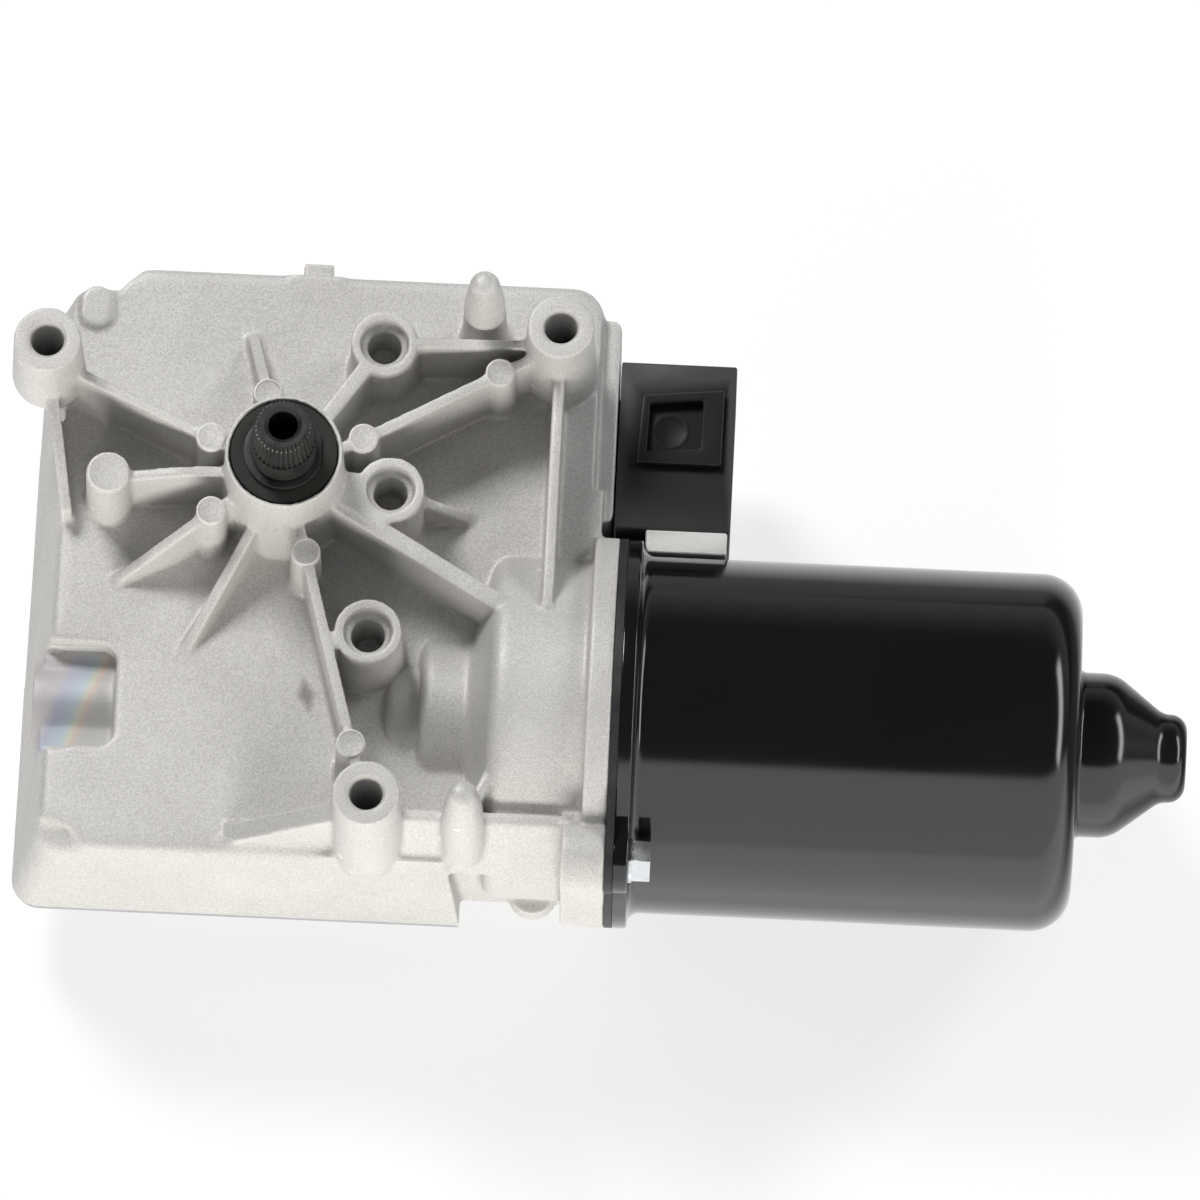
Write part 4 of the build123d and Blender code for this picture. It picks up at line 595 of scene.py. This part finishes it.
def lathe(profile, centre, turns=64):
    """Points and faces of a solid turned about a vertical axis from (radius, height) pairs."""
    points = [(*centre, profile[0][1])]
    faces = []
    for radius, height in profile:
        for turn in range(turns):
            angle = 2 * pi * turn / turns
            points.append((centre[0] + radius * cos(angle), centre[1] + radius * sin(angle), height))
    points.append((*centre, profile[-1][1]))
    last = len(points) - 1
    for turn in range(turns):
        beside = (turn + 1) % turns
        faces.append((0, 1 + beside, 1 + turn))
        for ring in range(len(profile) - 1):
            here, above = 1 + ring * turns, 1 + (ring + 1) * turns
            faces.append((here + turn, here + beside, above + beside, above + turn))
        faces.append((last, last - turns + turn, last - turns + beside))
    return points, faces


def pin_disc(centre, radius, level):
    return lathe([(radius + change, level + height) for change, height in DISC_PROFILE], centre)


discs = [pin_disc(centre, RIB_DISC_RADIUS, RIB_LEVEL) for centre in RIB_DISCS]
discs.append(pin_disc(POST_DISC, POST_DISC_RADIUS, POST_LEVEL))
smooth(link(mesh_of("pin_discs", discs), "pin_discs", "cast_aluminium"))


# Walls of the pocket between the plate and the pocket's floor
POCKET_LEFT, POCKET_RIGHT, POCKET_FRONT, POCKET_BACK = -45.3, -31.9, -53.6, -32.2
POCKET_ROUND, POCKET_WALL = 3.5, 2.0
POCKET_LOW, POCKET_HIGH = -36.3, -32.3


def pocket_walls(steps=8):
    """A wall round three sides of the pocket, open to the left."""
    inner, outer = [(POCKET_LEFT, POCKET_BACK)], [(POCKET_LEFT, POCKET_BACK + POCKET_WALL)]
    centre_x = POCKET_RIGHT - POCKET_ROUND
    for centre_y, start in ((POCKET_BACK - POCKET_ROUND, 90), (POCKET_FRONT + POCKET_ROUND, 0)):
        for step in range(steps + 1):
            angle = radians(start - 90 * step / steps)
            for path, radius in ((inner, POCKET_ROUND), (outer, POCKET_ROUND + POCKET_WALL)):
                path.append((centre_x + radius * cos(angle), centre_y + radius * sin(angle)))
    inner.append((POCKET_LEFT, POCKET_FRONT))
    outer.append((POCKET_LEFT, POCKET_FRONT - POCKET_WALL))
    points = []
    for (ix, iy), (ox, oy) in zip(inner, outer):
        points += [(ix, iy, POCKET_LOW), (ix, iy, POCKET_HIGH), (ox, oy, POCKET_HIGH), (ox, oy, POCKET_LOW)]
    faces = [(0, 1, 2, 3), tuple(len(points) - 4 + index for index in (3, 2, 1, 0))]
    for place in range(len(inner) - 1):
        for side in range(4):
            beside = (side + 1) % 4
            faces.append((4 * place + side, 4 * place + 4 + side, 4 * place + 4 + beside, 4 * place + beside))
    return points, faces


smooth(link(mesh_of("pocket_walls", [pocket_walls()]), "pocket_walls", "cast_aluminium"), angle=40)


# Smaller end of the bearing neck, showing above the plate
NECK_STEP = ((22.2, 13.2), (22.5, 14.3), (23.2, 15.0), (24.2, 15.3), (30.0, 15.3))  # along the axis, radius
NECK_STEP_FOOT = -31.0
NECK_STEP_Y = MOTOR_Y - 0.6
NECK_STEP_HALF_TURN = 75


def neck_step(turns=48):
    """A half-round rise about the motor's axis, closed by a flat foot inside the plate."""
    points, faces = [], []
    for along, radius in NECK_STEP:
        for turn in range(turns + 1):
            angle = radians(-NECK_STEP_HALF_TURN + 2 * NECK_STEP_HALF_TURN * turn / turns)
            points.append((along, NECK_STEP_Y + radius * sin(angle),
                           max(MOTOR_Z + radius * cos(angle), NECK_STEP_FOOT)))
    wide = turns + 1
    for ring in range(len(NECK_STEP) - 1):
        for turn in range(turns):
            corner = ring * wide + turn
            faces.append((corner, corner + wide, corner + wide + 1, corner + 1))
    last = (len(NECK_STEP) - 1) * wide
    faces.append(tuple(range(wide)))
    faces.append(tuple(range(last + wide - 1, last - 1, -1)))
    faces.append(tuple([ring * wide for ring in range(len(NECK_STEP) - 1, -1, -1)]
                       + [ring * wide + turns for ring in range(len(NECK_STEP))]))
    return points, faces


smooth(link(mesh_of("neck_step", [neck_step()]), "neck_step", "cast_aluminium"), angle=40)


# Connector: the CAD shape with its latch frame slightly skewed, round a closed recess with a shallow dimple
LATCH_MOVES = (  # corners of the frame and of its window, and where they go
    ((69.4, 11.3), (69.9, 11.7)), ((86.8, 11.3), (86.8, 11.7)), ((86.8, 26.5), (86.9, 27.6)),
    ((69.4, 26.5), (70.7, 26.0)), ((71.6, 13.5), (71.8, 14.2)), ((84.6, 13.5), (82.6, 15.2)),
    ((84.6, 24.3), (82.7, 25.3)), ((71.6, 24.3), (72.1, 24.1)),
)
CORNER_REACH = 0.06
LATCH_FOOT = -36.0
RECESS_CORNERS = ((71.2, 13.6), (83.4, 25.8))
RECESS_LEVEL, RECESS_THICKNESS = -33.5, 1.2
DIMPLE_CENTRE, DIMPLE_RADIUS, DIMPLE_DEPTH = (76.4, 19.2), 3.3, 0.35
DIMPLE_RIM_HEIGHT, DIMPLE_RIM_WIDTH = 0.10, 0.5


def skewed_connector():
    mesh = nodes["connector_housing"].data.copy()
    points = points_of(mesh) / MM
    for (x, y), goal in LATCH_MOVES:
        near_corner = (np.abs(points[:, 0] - x) < CORNER_REACH) & (np.abs(points[:, 1] - y) < CORNER_REACH)
        points[near_corner & (points[:, 2] > LATCH_FOOT), :2] = goal
    return with_points(mesh, points * MM)


def latch_floor(across=30, along=34):
    """The recess's floor, a height field with a dimple, as a closed slab."""
    (left, front), (right, back) = RECESS_CORNERS
    points, faces = [], []
    for row in range(across + 1):
        for column in range(along + 1):
            x = left + (right - left) * column / along
            y = front + (back - front) * row / across
            reach = sqrt((x - DIMPLE_CENTRE[0]) ** 2 + (y - DIMPLE_CENTRE[1]) ** 2)
            dip = DIMPLE_DEPTH * max(0.0, 1 - (reach / DIMPLE_RADIUS) ** 2)
            rim = DIMPLE_RIM_HEIGHT * max(0.0, 1 - abs(reach - DIMPLE_RADIUS) / DIMPLE_RIM_WIDTH)
            points.append((x, y, RECESS_LEVEL - dip + rim))
    size = len(points)
    points += [(x, y, RECESS_LEVEL - RECESS_THICKNESS) for x, y, _ in points]
    wide = along + 1
    for row in range(across):
        for column in range(along):
            corner = row * wide + column
            below = size + corner
            faces.append((corner, corner + 1, corner + wide + 1, corner + wide))
            faces.append((below, below + wide, below + wide + 1, below + 1))
    outline = (list(range(wide)) + [row * wide + along for row in range(1, across + 1)]
               + [across * wide + column for column in range(along - 1, -1, -1)]
               + [row * wide for row in range(across - 1, 0, -1)])
    for here, beside in zip(outline, outline[1:] + outline[:1]):
        faces.append((here, size + here, size + beside, beside))
    return points, faces


smooth(link(skewed_connector(), "connector_shell", "black_plastic", "connector_housing"), CONNECTOR_BEVEL)
smooth(link(mesh_of("latch_floor", [latch_floor()]), "latch_floor", "black_plastic"), angle=40)


# Cast step below the connector, beside the can's flange
CAST_STEP_LOW, CAST_STEP_HIGH = (72.4, -6.75, -35.5), (88.75, -1.95, -32.8)
CAST_STEP_ROUNDING = 0.45


def rounded_block(low, high, rounding, steps=5):
    """A block with rounded upper edges, as a stack of rounded outlines from bottom to top."""
    (x0, y0, z0), (x1, y1, z1) = low, high
    levels = [(z0, 0.0)]
    for step in range(steps + 1):
        angle = pi / 2 * step / steps
        levels.append((z1 - rounding + rounding * sin(angle), rounding - rounding * cos(angle)))
    points, faces = [], []
    for level, inset in levels:
        for cx, cy, quarter in ((x1, y1, 0), (x0, y1, 1), (x0, y0, 2), (x1, y0, 3)):
            sx, sy = (-1 if cx == x1 else 1), (-1 if cy == y1 else 1)
            for step in range(steps + 1):
                angle = pi / 2 * (quarter + step / steps)
                points.append((cx + sx * rounding + (rounding - inset) * cos(angle),
                               cy + sy * rounding + (rounding - inset) * sin(angle), level))
    size = 4 * (steps + 1)
    faces.append(tuple(range(size))[::-1])
    for ring in range(len(levels) - 1):
        here, above = ring * size, (ring + 1) * size
        for index in range(size):
            beside = (index + 1) % size
            faces.append((here + index, here + beside, above + beside, above + index))
    faces.append(tuple(range((len(levels) - 1) * size, len(levels) * size)))
    return points, faces


cast_step = rounded_block(CAST_STEP_LOW, CAST_STEP_HIGH, CAST_STEP_ROUNDING)
smooth(link(mesh_of("cast_step", [cast_step]), "cast_step", "cast_aluminium"), angle=50)


# Cover and gasket, drawn in a little behind the housing's rounded rim
GASKET_INSET, COVER_INSET = 0.55, 0.45
RIM_BEVEL = 0.0003


def drawn_in(node, name, inset):
    mesh = nodes[node].data.copy()
    points = points_of(mesh)
    low, high = points.min(axis=0), points.max(axis=0)
    middle = (low + high) / 2
    share = 1 - 2 * inset * MM / (high - low)[:2]
    points[:, :2] = middle[:2] + (points[:, :2] - middle[:2]) * share
    smooth(link(with_points(mesh, points), name, slots[node], node), RIM_BEVEL)


drawn_in("cover_gasket", "inset_gasket", GASKET_INSET)
drawn_in("back_cover", "inset_cover", COVER_INSET)


# Painted glints: bright steel crests on the shaft's serrations, where they begin below its top
CREST_COUNT, CREST_RADIUS, CREST_LEVEL, CREST_LENGTH = 36, 5.28, 15.9, 0.9
CREST_TAPER = 0.14
CREST_FOOT = ((0.0, -0.13), (0.07, 0), (0.0, 0.13), (-0.3, 0))  # corners, as outwards and sideways
CREST_HEAD = ((-0.13, -0.05), (-0.1, 0), (-0.13, 0.05), (-0.3, 0))


def crests():
    """A small wedge of bright steel on each serration, standing a little proud of the taper, as a painted
    glint.
    """
    points, faces = [], []
    for crest in range(CREST_COUNT):
        turn = 2 * pi * crest / CREST_COUNT
        first = len(points)
        for corners, base, level in ((CREST_FOOT, CREST_RADIUS + CREST_TAPER, CREST_LEVEL - CREST_LENGTH),
                                     (CREST_HEAD, CREST_RADIUS, CREST_LEVEL)):
            for out, side in corners:
                radius = base + out
                points.append((radius * cos(turn) - side * sin(turn), radius * sin(turn) + side * cos(turn),
                               level))
        for side in range(4):
            beside = (side + 1) % 4
            faces.append((first + side, first + beside, first + 4 + beside, first + 4 + side))
        faces.append((first + 3, first + 2, first + 1, first))
        faces.append((first + 4, first + 5, first + 6, first + 7))
    return points, faces


# painted glints on the shaft's serrations
link(mesh_of("glint_crests", [crests()]), "glint_crests", "bright_steel", body="output")


# Floor: pale and keeping the shadow, while reflections see their own brightness on it
FLOOR_SIZE = 8.0
FLOOR_LIFT = 0.70
FLOOR_SHADE, FLOOR_SEEN_SHADE = (0.84, 0.84, 0.835), (0.37, 0.37, 0.37)
MIRRORED_BEHIND = dict(span=(0.06, 0.16), goal=(1.0, 0.30))
MIRRORED_BESIDE = dict(span=(0.165, 0.24), goal=(1.0, 0.12))
MIRRORED_FRONT = dict(span=(-0.12, -0.06), goal=(1.4, 0.0))


def floor_seen(tree, by_camera):
    """What the camera sees straight on is lifted, so that it is white outside the shadow."""
    base = tree.nodes.new("ShaderNodeBsdfDiffuse")
    tree.links.new(blended(tree, by_camera, FLOOR_SHADE, FLOOR_SEEN_SHADE), base.inputs["Color"])
    lift = add(tree, "ShaderNodeEmission")
    tree.links.new(ranged(tree, by_camera, (0, 1), (0, FLOOR_LIFT)), lift.inputs["Strength"])
    both = tree.nodes.new("ShaderNodeAddShader")
    tree.links.new(base.outputs[0], both.inputs[0])
    tree.links.new(lift.outputs[0], both.inputs[1])
    return both.outputs[0]


def floor_mirrored(tree):
    """What a reflection sees: white in front, dimmer behind and beside the part."""
    apart = tree.nodes.new("ShaderNodeSeparateXYZ")
    tree.links.new(add(tree, "ShaderNodeTexCoord").outputs["Object"], apart.inputs[0])
    behind = ranged(tree, apart.outputs["Y"], **MIRRORED_BEHIND)
    beside = ranged(tree, apart.outputs["X"], **MIRRORED_BESIDE)
    front = ranged(tree, apart.outputs["Y"], **MIRRORED_FRONT)
    glow = combined(tree, "MAXIMUM", combined(tree, "MULTIPLY", behind, beside), front)
    mirrored = tree.nodes.new("ShaderNodeEmission")
    tree.links.new(glow, mirrored.inputs["Strength"])
    return mirrored.outputs[0]


def make_floor():
    mesh = bpy.data.meshes.new("floor")
    half = FLOOR_SIZE / 2
    corners = ((-half, -half), (half, -half), (half, half), (-half, half))
    mesh.from_pydata([(x, y, cad_box[0].z) for x, y in corners], [], [(0, 1, 2, 3)])
    floor = bpy.data.objects.new("floor", mesh)
    scene.collection.objects.link(floor)
    material, tree, out = emptied_material("floor")
    path = tree.nodes.new("ShaderNodeLightPath")
    surfaces = either(tree, path.outputs["Is Glossy Ray"], floor_seen(tree, path.outputs["Is Camera Ray"]),
                      floor_mirrored(tree))
    tree.links.new(surfaces, out.inputs["Surface"])
    mesh.materials.append(material)


# Studio round the part, seen only in its reflections; angles in degrees
DOME_RADIUS = 3.4
DOME_AROUND, DOME_ROWS, DOME_FOOT = 180, 60, -4
DOME_EDGE, DOME_EDGE_SOFTNESS = 54.5, 0.012
EXPONENT_LIMIT = 60
DOME_DARK, DOME_FRONT = 0.05, 1.1
STRIP_RISE = dict(low=17, high=34, rising=5, falling=7)
STRIP_TURN = dict(low=-18, high=46, rising=6, falling=8)
STRIP_GLOW = 5.0
HORIZON_GLOW, HORIZON_RISE = 0.30, 28


def between(value, low, high, rising, falling):
    return np.clip((value - low) / rising, 0, 1) * np.clip((high - value) / falling, 0, 1)


def dome_glow(direction):
    """Brightness of the studio in a direction: white in front, dark above, and a bright strip at right."""
    x, y, z = direction
    tilt = radians(DOME_EDGE)
    behind = (z * cos(tilt) + y * sin(tilt)) / DOME_EDGE_SOFTNESS
    front = 1 / (1 + np.exp(np.clip(behind, -EXPONENT_LIMIT, EXPONENT_LIMIT)))
    rise = np.degrees(np.arcsin(np.clip(z, -1, 1)))
    turn = np.degrees(np.arctan2(y, x))
    strip = between(rise, **STRIP_RISE) * between(turn, **STRIP_TURN)
    horizon = HORIZON_GLOW * np.clip(1 - rise / HORIZON_RISE, 0, 1) * np.clip(2 * y, 0, 1)
    lit = np.maximum(DOME_DARK + (DOME_FRONT - DOME_DARK) * front, STRIP_GLOW * strip)
    return np.maximum(lit, DOME_DARK + horizon)


def make_dome():
    points, faces = [], []
    for row in range(DOME_ROWS + 1):
        rise = radians(DOME_FOOT + (90 - DOME_FOOT) * row / DOME_ROWS)
        for turn in range(DOME_AROUND):
            angle = 2 * pi * turn / DOME_AROUND
            points.append((DOME_RADIUS * cos(rise) * cos(angle), DOME_RADIUS * cos(rise) * sin(angle),
                           DOME_RADIUS * sin(rise)))
    for row in range(DOME_ROWS):
        here, above = row * DOME_AROUND, (row + 1) * DOME_AROUND
        for turn in range(DOME_AROUND):
            beside = (turn + 1) % DOME_AROUND
            faces.append((here + turn, above + turn, above + beside, here + beside))
    mesh = bpy.data.meshes.new("dome")
    mesh.from_pydata(points, [], faces)
    glow = dome_glow(np.array(points).T / DOME_RADIUS)
    mesh.attributes.new("glow", "FLOAT", "POINT").data.foreach_set("value", glow.astype(np.float32))
    dome = bpy.data.objects.new("dome", mesh)
    scene.collection.objects.link(dome)
    material, tree, out = emptied_material("dome")
    shine = tree.nodes.new("ShaderNodeEmission")
    tree.links.new(attribute(tree, "glow"), shine.inputs["Strength"])
    tree.links.new(shine.outputs[0], out.inputs["Surface"])
    mesh.materials.append(material)
    dome.visible_camera = False
    dome.visible_diffuse = False
    dome.visible_shadow = False
    dome.visible_transmission = False


# World: white where it is looked at, straight or in a reflection, and a soft fill for the rest
SKY_COLOUR, SKY_STRENGTH = (0.97, 0.98, 1.0, 1), 0.10


def make_world():
    world = bpy.data.worlds.new("world")
    scene.world = world
    world.use_nodes = True
    tree = world.node_tree
    soft = tree.nodes["Background"]
    soft.inputs["Color"].default_value = SKY_COLOUR
    soft.inputs["Strength"].default_value = SKY_STRENGTH
    white = tree.nodes.new("ShaderNodeBackground")
    white.inputs["Color"].default_value = (1, 1, 1, 1)
    white.inputs["Strength"].default_value = 1.0
    path = tree.nodes.new("ShaderNodeLightPath").outputs
    seen = combined(tree, "MAXIMUM", path["Is Camera Ray"], path["Is Glossy Ray"])
    seen = combined(tree, "MAXIMUM", seen, path["Is Transmission Ray"])
    mixed = either(tree, seen, soft.outputs[0], white.outputs[0])
    tree.links.new(mixed, tree.nodes["World Output"].inputs["Surface"])


def lamp(name, place, width, height, power, colour=(1, 1, 1), reflected=False):
    """A rectangular area lamp, turned towards what the camera looks at."""
    light = bpy.data.lights.new(name, "AREA")
    light.shape = "RECTANGLE"
    light.size = width
    light.size_y = height
    light.energy = power
    light.color = colour
    piece = bpy.data.objects.new(name, light)
    scene.collection.objects.link(piece)
    piece.location = place
    piece.rotation_euler = (Vector(place) - AIM).to_track_quat("Z", "Y").to_euler()
    piece.visible_glossy = reflected
    piece.visible_camera = False


make_floor()
make_dome()
make_world()
lamp("key", (-0.55, 0.85, 1.15), width=0.45, height=0.45, power=16.5, colour=(1.0, 0.995, 0.985),
     reflected=True)
lamp("front", (0.05, -1.9, 0.35), width=1.2, height=0.5, power=42, colour=(1.0, 0.98, 0.92))
lamp("right", (1.15, 0.75, 0.95), width=0.5, height=0.5, power=9)
